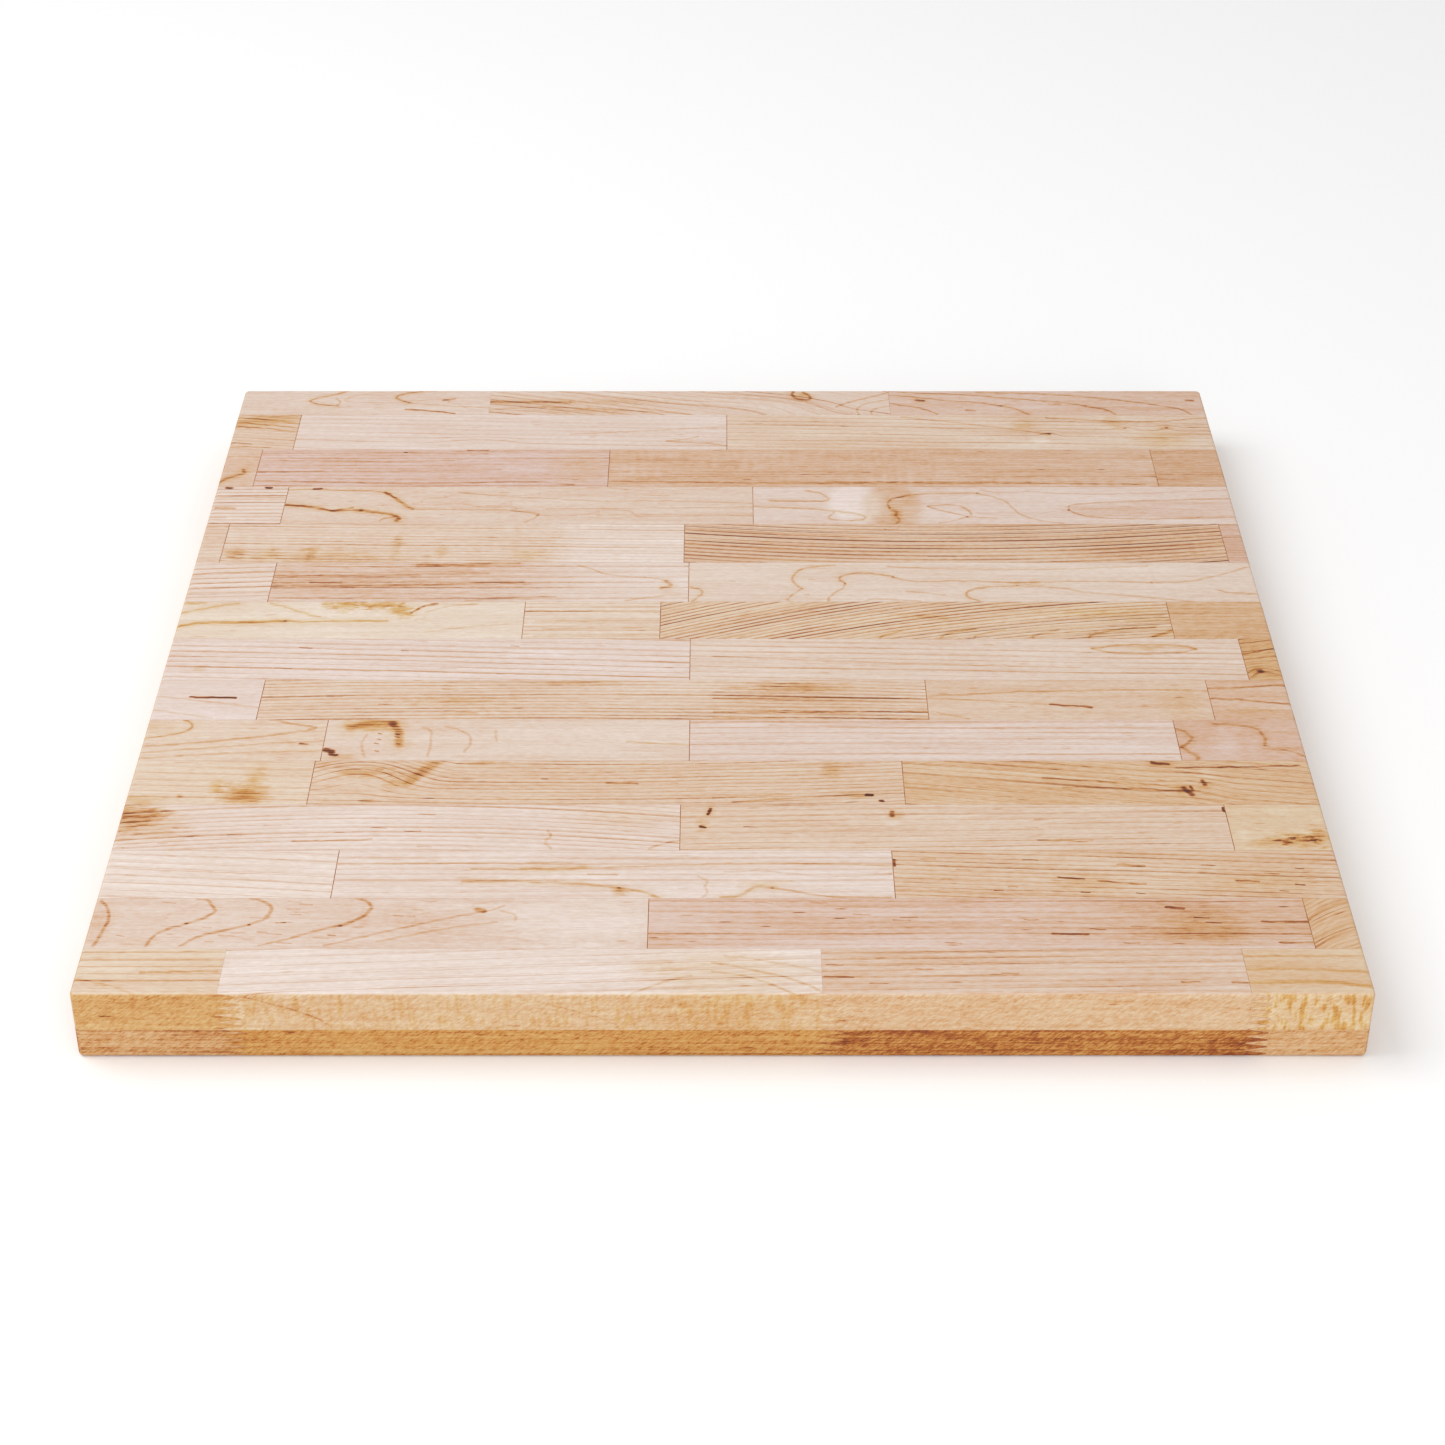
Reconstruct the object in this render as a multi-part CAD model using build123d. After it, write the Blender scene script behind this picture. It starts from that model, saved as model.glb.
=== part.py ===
"""Butcher block table top: two-ply maple blocks, finger-jointed into strips and edge-glued into a slab.

Frame: the origin is the centre of the underside. +X runs along the strips to the right, +Y points to
the back edge and +Z points up. All sizes are in millimetres.
"""

from build123d import *
import os

# ---------------------------------------------------------------- driving dimensions
TOP_LENGTH = 609.6  # along the strips, 24 in
TOP_THICKNESS = 38.1  # 1.5 in
LOWER_PLY = 16.6  # the thinner board of each block, underneath

CORNER_RADIUS = 3.0  # the four upright corners of the slab
EASED_EDGE = 2.0  # the round on all its long edges, above and below

FINGER_LENGTH = 10.0
FINGERS_IN_THICKNESS = 9
FINGER_PITCH = TOP_THICKNESS / FINGERS_IN_THICKNESS
FINGER_TIP = 0.6  # the flat at the end of each finger

# Each strip from the back edge to the front one: its width, then where its end joints show on the
# worktop, measured from the left end.
STRIPS = [
    (33.7, (157.5, 410.5)),
    (45.9, (40.0, 307.5)),
    (46.7, (21.5, 235.5, 568.0)),
    (45.1, (43.5, 323.0)),
    (44.3, (14.0, 282.5, 597.5)),
    (43.5, (47.5, 285.5)),
    (39.4, (193.5, 270.0, 555.5)),
    (41.9, (287.0, 590.5)),
    (39.0, (57.0, 414.5, 566.5)),
    (38.2, (95.5, 287.5, 544.0)),
    (39.4, (93.0, 398.0)),
    (39.4, (283.5, 560.0)),
    (39.4, (114.0, 389.0)),
    (39.4, (269.0, 587.0)),
    (34.3, (69.0, 351.5, 551.5)),
]
TOP_DEPTH = sum(width for width, joints in STRIPS)  # across the strips, 24 in
BLOCK_LETTERS = "abcd"
LEFT_END = -TOP_LENGTH / 2
RIGHT_END = TOP_LENGTH / 2
BACK_EDGE = TOP_DEPTH / 2


# ---------------------------------------------------------------- the finger joint
def finger_joint(tip_x):
    """The zigzag cut through the whole thickness, from the underside up.

    The right-hand block's finger tips lie at tip_x, one of them flush with each face, and the
    left-hand block's tips reach FINGER_LENGTH further.
    """
    half_tip = FINGER_TIP / 2
    line = [(tip_x, 0.0)]
    for finger in range(FINGERS_IN_THICKNESS):
        start = finger * FINGER_PITCH
        middle = start + FINGER_PITCH / 2
        line.append((tip_x, start + half_tip))
        line.append((tip_x + FINGER_LENGTH, middle - half_tip))
        line.append((tip_x + FINGER_LENGTH, middle + half_tip))
        line.append((tip_x, start + FINGER_PITCH - half_tip))
    line.append((tip_x, TOP_THICKNESS))
    return line


def x_at(line, height):
    """Where a joint line crosses a height."""
    for (x_low, z_low), (x_high, z_high) in zip(line, line[1:]):
        if z_low <= height <= z_high and z_high > z_low:
            return x_low + (x_high - x_low) * (height - z_low) / (z_high - z_low)
    raise ValueError("the height is outside the slab")


def between(line, z_bottom, z_top):
    """The stretch of a joint line between two heights, from the bottom up."""
    inner = [(x, z) for x, z in line if z_bottom < z < z_top]
    return [(x_at(line, z_bottom), z_bottom)] + inner + [(x_at(line, z_top), z_top)]


# ---------------------------------------------------------------- one ply of one block
def slab_envelope():
    """The finished outside of the worktop, with rounded corners and eased edges."""
    slab = Pos(0, 0, TOP_THICKNESS / 2) * Box(TOP_LENGTH, TOP_DEPTH, TOP_THICKNESS)
    slab = fillet(slab.edges().filter_by(Axis.Z), CORNER_RADIUS)
    rims = slab.faces().sort_by(Axis.Z)[0].edges() + slab.faces().sort_by(Axis.Z)[-1].edges()
    return fillet(rims, EASED_EDGE)


def ply(left_cut, right_cut, back, width, z_bottom, z_top):
    """One board of a block: its side outline in the XZ plane, drawn across the strip's width."""
    left_side = between(left_cut, z_bottom, z_top)
    right_side = between(right_cut, z_bottom, z_top)
    outline = left_side + right_side[::-1]
    wire = Wire.make_polygon([(x, back, z) for x, z in outline], close=True)
    return Solid.extrude(Face(wire), Vector(0, -width, 0))


def strip_blocks(joints, back, width, on_long_edge, envelope):
    """The blocks of one strip, left to right, each as its lower and upper ply."""
    square_left = [(LEFT_END, 0.0), (LEFT_END, TOP_THICKNESS)]
    square_right = [(RIGHT_END, 0.0), (RIGHT_END, TOP_THICKNESS)]
    cuts = [square_left] + [finger_joint(LEFT_END + x) for x in joints] + [square_right]
    blocks = []
    for number, (left_cut, right_cut) in enumerate(zip(cuts, cuts[1:])):
        plies = [
            ply(left_cut, right_cut, back, width, 0.0, LOWER_PLY),
            ply(left_cut, right_cut, back, width, LOWER_PLY, TOP_THICKNESS),
        ]
        at_an_end = number in (0, len(joints))
        if on_long_edge or at_an_end:
            plies = [(board & envelope).solids()[0] for board in plies]
        blocks.append(plies)
    return blocks


# ---------------------------------------------------------------- the nodes
def write_node(name, boards):
    """Writes the separate boards of one node, each a solid of its own."""
    export_step(Compound(label=name, children=boards), f"parts/{name}.step")


def main():
    os.makedirs("parts", exist_ok=True)
    envelope = slab_envelope()
    back = BACK_EDGE
    for number, (width, joints) in enumerate(STRIPS, start=1):
        on_long_edge = number in (1, len(STRIPS))
        blocks = strip_blocks(joints, back, width, on_long_edge, envelope)
        for letter, (lower, upper) in zip(BLOCK_LETTERS, blocks):
            lower.label = "lower_ply"
            upper.label = "upper_ply"
            name = f"strip_{number:02d}_block_{letter}"
            if on_long_edge:
                write_node(f"{name}_lower", [lower])
                write_node(f"{name}_upper", [upper])
            else:
                write_node(name, [lower, upper])
        back -= width


main()
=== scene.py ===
# %% [markdown]
# # A butcher block worktop
#
# The real thing is a slab of hard maple, glued up from short boards. Two boards are glued face to
# face, their ends are cut into fingers, the blocks are joined end to end into long strips, and the
# strips are glued edge to edge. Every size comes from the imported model, so this lesson starts by
# loading it, and adds what the wood looks like: its rings, fibres, stains, knots and glue lines.

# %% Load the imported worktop
import random
from math import radians

import bmesh
import bpy
from mathutils import Euler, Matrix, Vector


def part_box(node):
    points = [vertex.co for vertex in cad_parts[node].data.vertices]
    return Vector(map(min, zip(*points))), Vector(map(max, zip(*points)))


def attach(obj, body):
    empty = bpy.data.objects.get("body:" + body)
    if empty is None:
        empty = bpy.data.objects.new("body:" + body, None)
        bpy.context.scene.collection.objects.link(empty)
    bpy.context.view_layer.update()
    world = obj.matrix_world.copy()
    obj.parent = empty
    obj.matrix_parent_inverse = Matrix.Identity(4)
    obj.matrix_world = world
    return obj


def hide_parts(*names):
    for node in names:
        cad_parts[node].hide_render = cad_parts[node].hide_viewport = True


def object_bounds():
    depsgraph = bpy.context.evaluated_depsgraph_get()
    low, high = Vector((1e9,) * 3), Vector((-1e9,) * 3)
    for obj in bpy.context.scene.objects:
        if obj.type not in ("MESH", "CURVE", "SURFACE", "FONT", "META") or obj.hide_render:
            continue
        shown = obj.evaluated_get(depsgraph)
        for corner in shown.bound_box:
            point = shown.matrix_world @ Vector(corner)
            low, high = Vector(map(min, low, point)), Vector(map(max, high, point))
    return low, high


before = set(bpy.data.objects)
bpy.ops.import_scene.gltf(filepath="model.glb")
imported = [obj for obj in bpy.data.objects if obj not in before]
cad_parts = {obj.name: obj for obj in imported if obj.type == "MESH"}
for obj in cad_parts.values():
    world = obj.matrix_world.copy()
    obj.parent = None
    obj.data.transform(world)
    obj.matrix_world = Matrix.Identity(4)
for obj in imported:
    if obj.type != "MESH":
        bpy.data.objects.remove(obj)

cad_low, cad_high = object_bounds()
LENGTH, DEPTH, THICKNESS = cad_high - cad_low
print("slab", [round(size * 1000, 1) for size in (LENGTH, DEPTH, THICKNESS)], "mm")

# %% [markdown]
# ## One board at a time
#
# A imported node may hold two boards, the lower and the upper ply of a block. Each board gets its own
# mesh here, because each was sawn from its own log. A copy of the node's mesh is cut in two at the
# glue line between the plies. Faces that lie on that line belong to the board they face away from,
# so their normal tells which board takes them. Only then are the loose triangles merged, because
# merging first would weld the two plies together, and flat faces are dissolved into one.

# %% Sizes that the boards share
MM = 0.001
LOWER_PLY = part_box("strip_01_block_a_lower")[1].z
EASED_EDGE = 2.0 * MM
NEAR = 0.02 * MM
print("ply glue line at", round(LOWER_PLY / MM, 2), "mm")


# %% Select what an edit needs, and nothing else
def pick(ob):
    """Makes ob the only selected object, and the active one."""
    bpy.ops.object.select_all(action="DESELECT")
    ob.select_set(True)
    bpy.context.view_layer.objects.active = ob


def pick_faces(ob, wanted):
    """Opens ob in edit mode with the faces that pass the test selected."""
    pick(ob)
    bpy.ops.object.mode_set(mode="EDIT")
    bpy.ops.mesh.select_mode(type="FACE")
    bpy.ops.mesh.select_all(action="DESELECT")
    shape = bmesh.from_edit_mesh(ob.data)
    for face in shape.faces:
        face.select = wanted(face)
    shape.select_flush_mode()
    bmesh.update_edit_mesh(ob.data)


def of_upper_board(face):
    """True for a face of the board above the glue line between the plies."""
    height = face.calc_center_median().z
    if abs(height - LOWER_PLY) < NEAR:
        return face.normal.z < 0
    return height > LOWER_PLY


# %% Cut a block's mesh into its boards
def copy_of(node):
    """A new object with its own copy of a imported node's mesh."""
    board = bpy.data.objects.new("board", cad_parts[node].data.copy())
    board.data.materials.clear()
    bpy.context.scene.collection.objects.link(board)
    return board


def tidy_mesh(board):
    """Merges the loose triangles and dissolves the flat ones into whole faces."""
    pick_faces(board, lambda face: True)
    bpy.ops.mesh.remove_doubles(threshold=0.002 * MM)
    bpy.ops.mesh.dissolve_limited(angle_limit=radians(0.3))
    bpy.ops.object.mode_set(mode="OBJECT")


def boards_of(node):
    """{"lower": board, "upper": board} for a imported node, or the one of them that it holds."""
    low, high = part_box(node)
    whole = copy_of(node)
    if low.z > NEAR:
        found = {"upper": whole}
    elif high.z < THICKNESS - NEAR:
        found = {"lower": whole}
    else:
        pick_faces(whole, of_upper_board)
        bpy.ops.mesh.separate(type="SELECTED")
        bpy.ops.object.mode_set(mode="OBJECT")
        upper = next(ob for ob in bpy.context.selected_objects if ob is not whole)
        found = {"lower": whole, "upper": upper}
    for ply, board in found.items():
        block = node.replace("_lower", "").replace("_upper", "")
        board.name = f"{block}_{ply}_board"
        board.data.name = board.name
        tidy_mesh(board)
    return found


boards = {}
for node in sorted(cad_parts):
    for ply, board in boards_of(node).items():
        boards[board.name] = (board, node, ply)
print(len(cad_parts), "nodes hold", len(boards), "boards")

# %% [markdown]
# ## Glue lines
#
# On a real worktop every joint shows as a hairline, because sanding rounds the two arrises a touch
# and squeezed-out glue darkens them. A line could be painted in the material, but it would then run
# straight over the fingers. A small bevel on just the edges where a joint comes to the surface
# follows every finger, and its new faces take a second material slot, the glue's.

# %% Bevel the arrises along the joints
END_SEAM = 0.20 * MM
LONG_SEAM = 0.06 * MM
HALF_LENGTH, HALF_DEPTH = LENGTH / 2, DEPTH / 2


def joint_of(face):
    """The joint a face is glued in: "long" to the next strip or ply, "end" at a finger, "" for none."""
    place, normal = face.calc_center_median(), face.normal
    if abs(normal.y) > 0.999:
        return "long" if abs(place.y) < HALF_DEPTH - NEAR else ""
    if abs(normal.z) > 0.999:
        return "long" if NEAR < place.z < THICKNESS - NEAR else ""
    return "end" if abs(normal.y) < 0.001 and abs(place.x) < HALF_LENGTH - EASED_EDGE else ""


def bevel_joints(board, kind, width):
    """Takes the arris off wherever a glued face of one kind meets the outside."""
    pick(board)
    bpy.ops.object.mode_set(mode="EDIT")
    bpy.ops.mesh.select_mode(type="EDGE")
    bpy.ops.mesh.select_all(action="DESELECT")
    shape = bmesh.from_edit_mesh(board.data)
    count = 0
    for edge in shape.edges:
        wall = all(face.material_index == 0 for face in edge.link_faces)
        edge.select = wall and sorted(joint_of(face) for face in edge.link_faces) == ["", kind]
        count += edge.select
    bmesh.update_edit_mesh(board.data)
    bpy.ops.mesh.bevel(offset=width, segments=1, affect="EDGES", material=1, clamp_overlap=True)
    bpy.ops.object.mode_set(mode="OBJECT")
    return count


def smooth_rounds(board):
    """Smooths the eased edges and keeps the flat faces flat."""
    pick(board)
    bpy.ops.object.shade_smooth_by_angle(angle=radians(30))
    weighted = board.modifiers.new("flat faces first", "WEIGHTED_NORMAL")
    weighted.keep_sharp = True
    bpy.ops.object.modifier_apply(modifier=weighted.name)


seams = 0
for board, node, ply in boards.values():
    board.data.materials.append(None)
    board.data.materials.append(None)
    seams += bevel_joints(board, "end", END_SEAM)
    seams += bevel_joints(board, "long", LONG_SEAM)
    smooth_rounds(board)
print(seams, "arrises bevelled")

# %% [markdown]
# ## A small kit for shader groups
#
# Each effect below is a node group with named sockets, so every board can place it with its own
# values. These helpers add a node, set or link its inputs, and hand back its output.


# %% Helpers that add and wire nodes
class Wiring:
    """Adds nodes to one node tree and wires them up."""

    def __init__(self, tree):
        self.tree = tree

    def feed(self, socket, value):
        if isinstance(value, bpy.types.NodeSocket):
            self.tree.links.new(value, socket)
        elif value is not None:
            socket.default_value = value

    def add(self, kind, settings=None, **inputs):
        node = self.tree.nodes.new(kind)
        for name, value in (settings or {}).items():
            setattr(node, name, value)
        for name, value in inputs.items():
            self.feed(node.inputs[name.replace("_", " ")], value)
        return node

    def math(self, operation, *values):
        node = self.add("ShaderNodeMath", {"operation": operation})
        for socket, value in zip(node.inputs, values):
            self.feed(socket, value)
        return node.outputs[0]

    def vector(self, operation, *values):
        node = self.add("ShaderNodeVectorMath", {"operation": operation})
        for socket, value in zip(node.inputs, values):
            self.feed(socket, value)
        return node.outputs["Value" if operation in ("LENGTH", "DISTANCE") else "Vector"]

    def noise(self, vector, stretch, detail=1.0, roughness=0.5):
        """Soft noise whose blotches measure stretch = (x, y, z) millimetres."""
        place = self.vector("DIVIDE", vector, stretch)
        inputs = {"Vector": place, "Scale": 1.0, "Detail": detail, "Roughness": roughness}
        return self.add("ShaderNodeTexNoise", **inputs).outputs["Fac"]

    def round_zero(self, noise, spread):
        """Noise runs round 0.5 and seldom far from it; this puts it round 0 and makes it wider."""
        return self.math("MULTIPLY", self.math("SUBTRACT", noise, 0.5), spread)

    def blend(self, value, start, end, low=0.0, high=1.0):
        """low below start, high above end, and a smooth step between."""
        settings = {"interpolation_type": "SMOOTHSTEP"}
        node = self.add("ShaderNodeMapRange", settings, Value=value)
        for name, part in zip(("From Min", "From Max", "To Min", "To Max"), (start, end, low, high)):
            self.feed(node.inputs[name], part)
        return node.outputs[0]

    def mix(self, factor, first, second):
        node = self.add("ShaderNodeMix", {"data_type": "RGBA"})
        self.feed(node.inputs["Factor"], factor)
        self.feed(node.inputs[6], first)
        self.feed(node.inputs[7], second)
        return node.outputs[2]

    def split(self, vector):
        return self.add("ShaderNodeSeparateXYZ", Vector=vector).outputs

    def join(self, x, y, z):
        return self.add("ShaderNodeCombineXYZ", X=x, Y=y, Z=z).outputs[0]

    def place(self, group, **inputs):
        """Places a node group and returns its outputs."""
        node = self.add("ShaderNodeGroup", {"node_tree": group}, **inputs)
        return node.outputs


SOCKETS = {"value": "NodeSocketFloat", "vector": "NodeSocketVector", "colour": "NodeSocketColor"}


def new_group(name, inputs, outputs):
    """An empty node group, its wiring helper, its inputs by name, and its output node."""
    group = bpy.data.node_groups.new(name, "ShaderNodeTree")
    for label, kind in inputs.items():
        group.interface.new_socket(name=label, in_out="INPUT", socket_type=SOCKETS[kind])
    for label, kind in outputs.items():
        group.interface.new_socket(name=label, in_out="OUTPUT", socket_type=SOCKETS[kind])
    wires = Wiring(group)
    return group, wires, wires.add("NodeGroupInput").outputs, wires.add("NodeGroupOutput").inputs


def reach_in_oval(wires, given):
    """How far a point is from the middle of a turned oval: 0 there, and 1 on its outline."""
    offset = wires.vector("SUBTRACT", given["Place"], given["Centre"])
    turn = {"rotation_type": "Z_AXIS"}
    turned = wires.add("ShaderNodeVectorRotate", turn, Vector=offset, Angle=given["Turn"])
    return wires.vector("LENGTH", wires.vector("DIVIDE", turned.outputs[0], given["Size"]))


# %% [markdown]
# ## Where the board sat in its tree
#
# Wood is a solid thing: the lines on a board's top, front and end are one set of rings, cut three
# ways. So the pattern is worked out in space, in millimetres from a point on the board, not painted
# on each face. The board space group also shears that space by the lean of the log, so that the
# fibres run along the heart of the tree rather than along the saw cut. Its step input looks at a
# point a little to the side, which the rings need to know how steeply a face cuts them.

# %% Board space
board_space, w, given, result = new_group(
    "Board Space",
    {"Origin": "vector", "Lean": "vector", "Curve": "vector", "Seed": "vector", "Step": "vector"},
    {"Place": "vector", "Along Grain": "vector", "Scattered": "vector"},
)
coordinates = w.add("ShaderNodeTexCoord").outputs["Object"]
millimetres = w.vector("DIVIDE", coordinates, (MM, MM, MM))
place = w.vector("SUBTRACT", w.vector("ADD", millimetres, given["Step"]), given["Origin"])
x, y, z = w.split(place)
along_x = w.join(x, x, x)
bow = w.vector("MULTIPLY", w.vector("MULTIPLY", along_x, along_x), given["Curve"])
leaning = w.vector("ADD", w.vector("MULTIPLY", along_x, given["Lean"]), bow)
sheared = w.vector("SUBTRACT", place, leaning)
w.feed(result["Place"], place)
w.feed(result["Along Grain"], sheared)
w.feed(result["Scattered"], w.vector("ADD", sheared, given["Seed"]))

# %% Two small steps along the face
STEP = 0.25
face_steps, w, given, result = new_group("Face Steps", {}, {"First": "vector", "Second": "vector"})
normal = w.add("ShaderNodeTexCoord").outputs["Normal"]
first = w.vector("NORMALIZE", w.vector("CROSS_PRODUCT", normal, (0.1, 0.7, 0.7)))
second = w.vector("CROSS_PRODUCT", normal, first)
w.feed(result["First"], w.vector("MULTIPLY", first, (STEP, STEP, STEP)))
w.feed(result["Second"], w.vector("MULTIPLY", second, (STEP, STEP, STEP)))

# %% [markdown]
# ## Growth rings
#
# A ring is a cylinder round the heart of the tree, so the distance from the heart, divided by the
# ring width, counts the years. Sawn close to the heart line and leaning, the rings come out as
# nested arches; sawn beside it, as straight lines; and where the tree swelled they close into
# ovals. Slow noise added to the distance makes the waves, and a little more along the years makes
# good and poor ones.

# %% The year that a point grew in
UNEVEN_YEARS = 0.4
year_grown, w, given, result = new_group(
    "Year Grown",
    {
        "Along Grain": "vector",
        "Scattered": "vector",
        "Heart": "vector",
        "Ring Width": "value",
        "Wander": "value",
        "Wave Length": "value",
        "Push": "value",
    },
    {"Years": "value"},
)
x, y, z = w.split(w.vector("SUBTRACT", given["Along Grain"], given["Heart"]))
from_heart = w.vector("LENGTH", w.join(0.0, y, z))
waves = w.join(given["Wave Length"], w.math("MULTIPLY", given["Wave Length"], 0.3), 26.0)
slow = w.noise(given["Scattered"], waves, detail=3.0, roughness=0.42)
wander = w.round_zero(slow, w.math("MULTIPLY", given["Wander"], 4.0))
distance = w.math("ADD", w.math("ADD", from_heart, wander), given["Push"])
uneven = w.add("ShaderNodeTexNoise", {"noise_dimensions": "1D"}, W=w.math("MULTIPLY", distance, 0.13))
years = w.math("DIVIDE", distance, given["Ring Width"])
w.feed(result["Years"], w.math("MULTIPLY_ADD", uneven.outputs["Fac"], UNEVEN_YEARS, years))

# %% Where the tree swelled
SWELLING_FOOT = 2.2
swelling, w, given, result = new_group(
    "Swelling",
    {"Place": "vector", "Centre": "vector", "Size": "vector", "Turn": "value"},
    {"Height": "value"},
)
w.feed(result["Height"], w.blend(reach_in_oval(w, given), 0.0, SWELLING_FOOT, 1.0, 0.0))

# %% [markdown]
# Maple shows each ring as one fine darker line with a soft shade beside it, stronger in some years
# than in others. The line stays a hairline even where a face cuts the rings at a shallow angle, so
# its width is set on the face: the years at two points a small step away tell how far apart the
# rings come out there.

# %% Ring lines
FEWEST_YEARS_PER_MM = 0.006
growth_rings, w, given, result = new_group(
    "Ring Lines",
    {
        "Years": "value",
        "Years First": "value",
        "Years Second": "value",
        "Scattered": "vector",
        "Line Width": "value",
    },
    {"Line": "value", "Shade": "value"},
)
first = w.math("SUBTRACT", given["Years First"], given["Years"])
second = w.math("SUBTRACT", given["Years Second"], given["Years"])
steep = w.vector("LENGTH", w.join(first, second, 0.0))
years_per_mm = w.math("MAXIMUM", w.math("DIVIDE", steep, STEP), FEWEST_YEARS_PER_MM)
left_of_year = w.math("SUBTRACT", 1.0, w.math("FRACT", given["Years"]))
to_next = w.math("DIVIDE", left_of_year, years_per_mm)
year = w.math("FLOOR", given["Years"])
strength = w.add("ShaderNodeTexWhiteNoise", {"noise_dimensions": "1D"}, W=year).outputs["Value"]
strength = w.blend(strength, 0.0, 1.0, 0.6, 1.1)
fade = w.blend(w.noise(given["Scattered"], (60.0, 8.0, 8.0)), 0.34, 0.6, 0.65, 1.0)
strength = w.math("MULTIPLY", strength, fade)
line_start = w.math("MULTIPLY", given["Line Width"], 1.3)
rise = w.blend(to_next, line_start, w.math("MULTIPLY", given["Line Width"], 0.4))
fall = w.blend(to_next, 0.0, w.math("MULTIPLY", given["Line Width"], 0.3))
soft = w.blend(to_next, w.math("MULTIPLY", given["Line Width"], 4.0), 0.0)
w.feed(result["Line"], w.math("MULTIPLY", w.math("MULTIPLY", rise, fall), strength))
w.feed(result["Shade"], w.math("MULTIPLY", w.math("MULTIPLY", soft, fall), strength))

# %% [markdown]
# ## Fibres, flecks and curl
#
# Between the rings, maple is filled with fibres: fine streaks a few millimetres to centimetres long
# and a millimetre or two wide, with short dark flecks where vessels and rays are cut. In curly wood
# the fibres also wave, and the surface shows soft bars across the grain, and finer ones where a saw
# left it. All of them are noises stretched along the grain or across it, and as they live in space,
# the ends of the boards show the fibres as dots.

# %% Fibres and flecks
NOISE_SPREAD = 6.0
fibres_and_flecks, w, given, result = new_group(
    "Fibres And Flecks", {"Scattered": "vector"}, {"Fibres": "value", "Flecks": "value", "Cloud": "value"}
)
fine = w.noise(given["Scattered"], (5.0, 1.1, 1.1), detail=2.0, roughness=0.7)
broad = w.noise(given["Scattered"], (60.0, 2.2, 2.2), detail=2.0)
fibres = w.math("ADD", w.math("MULTIPLY", fine, 0.6), w.math("MULTIPLY", broad, 0.4))
w.feed(result["Fibres"], w.round_zero(fibres, NOISE_SPREAD))
fleck_size = w.vector("DIVIDE", given["Scattered"], (18.0, 2.6, 2.6))
cells = w.add("ShaderNodeTexVoronoi", Vector=fleck_size, Scale=1.0)
middle = w.blend(cells.outputs["Distance"], 0.10, 0.25, 1.0, 0.0)
chosen = w.blend(w.split(cells.outputs["Color"])[0], 0.74, 0.92)
w.feed(result["Flecks"], w.math("MULTIPLY", middle, chosen))
cloud = w.noise(given["Scattered"], (80.0, 13.0, 13.0), detail=2.0)
w.feed(result["Cloud"], w.round_zero(cloud, NOISE_SPREAD))

# %% Curl
curly_figure, w, given, result = new_group(
    "Curly Figure", {"Scattered": "vector"}, {"Curl": "value", "Fine Curl": "value"}
)
bars = w.noise(given["Scattered"], (5.5, 26.0, 26.0), detail=1.0)
where = w.blend(w.noise(given["Scattered"], (70.0, 30.0, 30.0)), 0.42, 0.62)
w.feed(result["Curl"], w.math("MULTIPLY", w.round_zero(bars, NOISE_SPREAD), where))
threads = w.noise(given["Scattered"], (2.6, 20.0, 9.0), detail=2.0)
w.feed(result["Fine Curl"], w.blend(threads, 0.45, 0.7))

# %% [markdown]
# ## Stains and knots
#
# Sap stains and pin knots sit in one place on a board, so each is a patch with a centre, a size and
# a turn. Its rim is torn by noise drawn out along the grain, because stain travels along the
# fibres, and it's thinner where the fibres are tight. The noise is worked out once for a board and
# shared by all its patches.

# %% The rim of a stain
stain_rim, w, given, result = new_group(
    "Stain Rim", {"Scattered": "vector"}, {"Ragged": "value", "Tight": "value", "Wobble": "vector"}
)
ragged = w.noise(given["Scattered"], (7.0, 2.2, 2.2), detail=3.0, roughness=0.6)
w.feed(result["Ragged"], w.round_zero(ragged, 2.4))
tight = w.noise(given["Scattered"], (16.0, 1.1, 1.1), detail=1.0)
w.feed(result["Tight"], w.blend(tight, 0.35, 0.65, 0.62, 1.15))
sway_size = w.vector("DIVIDE", given["Scattered"], (7.0, 5.0, 5.0))
sway = w.add("ShaderNodeTexNoise", Vector=sway_size, Scale=1.0, Detail=2.0)
w.feed(result["Wobble"], w.vector("SUBTRACT", sway.outputs["Color"], (0.5, 0.5, 0.5)))

# %% Patch
patch, w, given, result = new_group(
    "Patch",
    {
        "Place": "vector",
        "Ragged": "value",
        "Tight": "value",
        "Centre": "vector",
        "Size": "vector",
        "Turn": "value",
        "Torn": "value",
        "Rim": "value",
    },
    {"Mask": "value"},
)
torn_reach = w.math("MULTIPLY_ADD", given["Ragged"], given["Torn"], reach_in_oval(w, given))
spread = w.blend(torn_reach, given["Rim"], 1.15, 1.0, 0.0)
w.feed(result["Mask"], w.math("MULTIPLY", spread, given["Tight"]))

# %% [markdown]
# ## Streaks
#
# Mineral streaks and the boldest ring lines run a course of their own, so each is laid along a few
# points, like a cord over pegs. One group gives the distance to the stretch between two pegs; the
# nearest stretch wins, and a second group turns the distance into a line with a soft halo. A slow
# wobble takes away the straightness between the pegs, and a streak is only a few millimetres deep.

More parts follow.
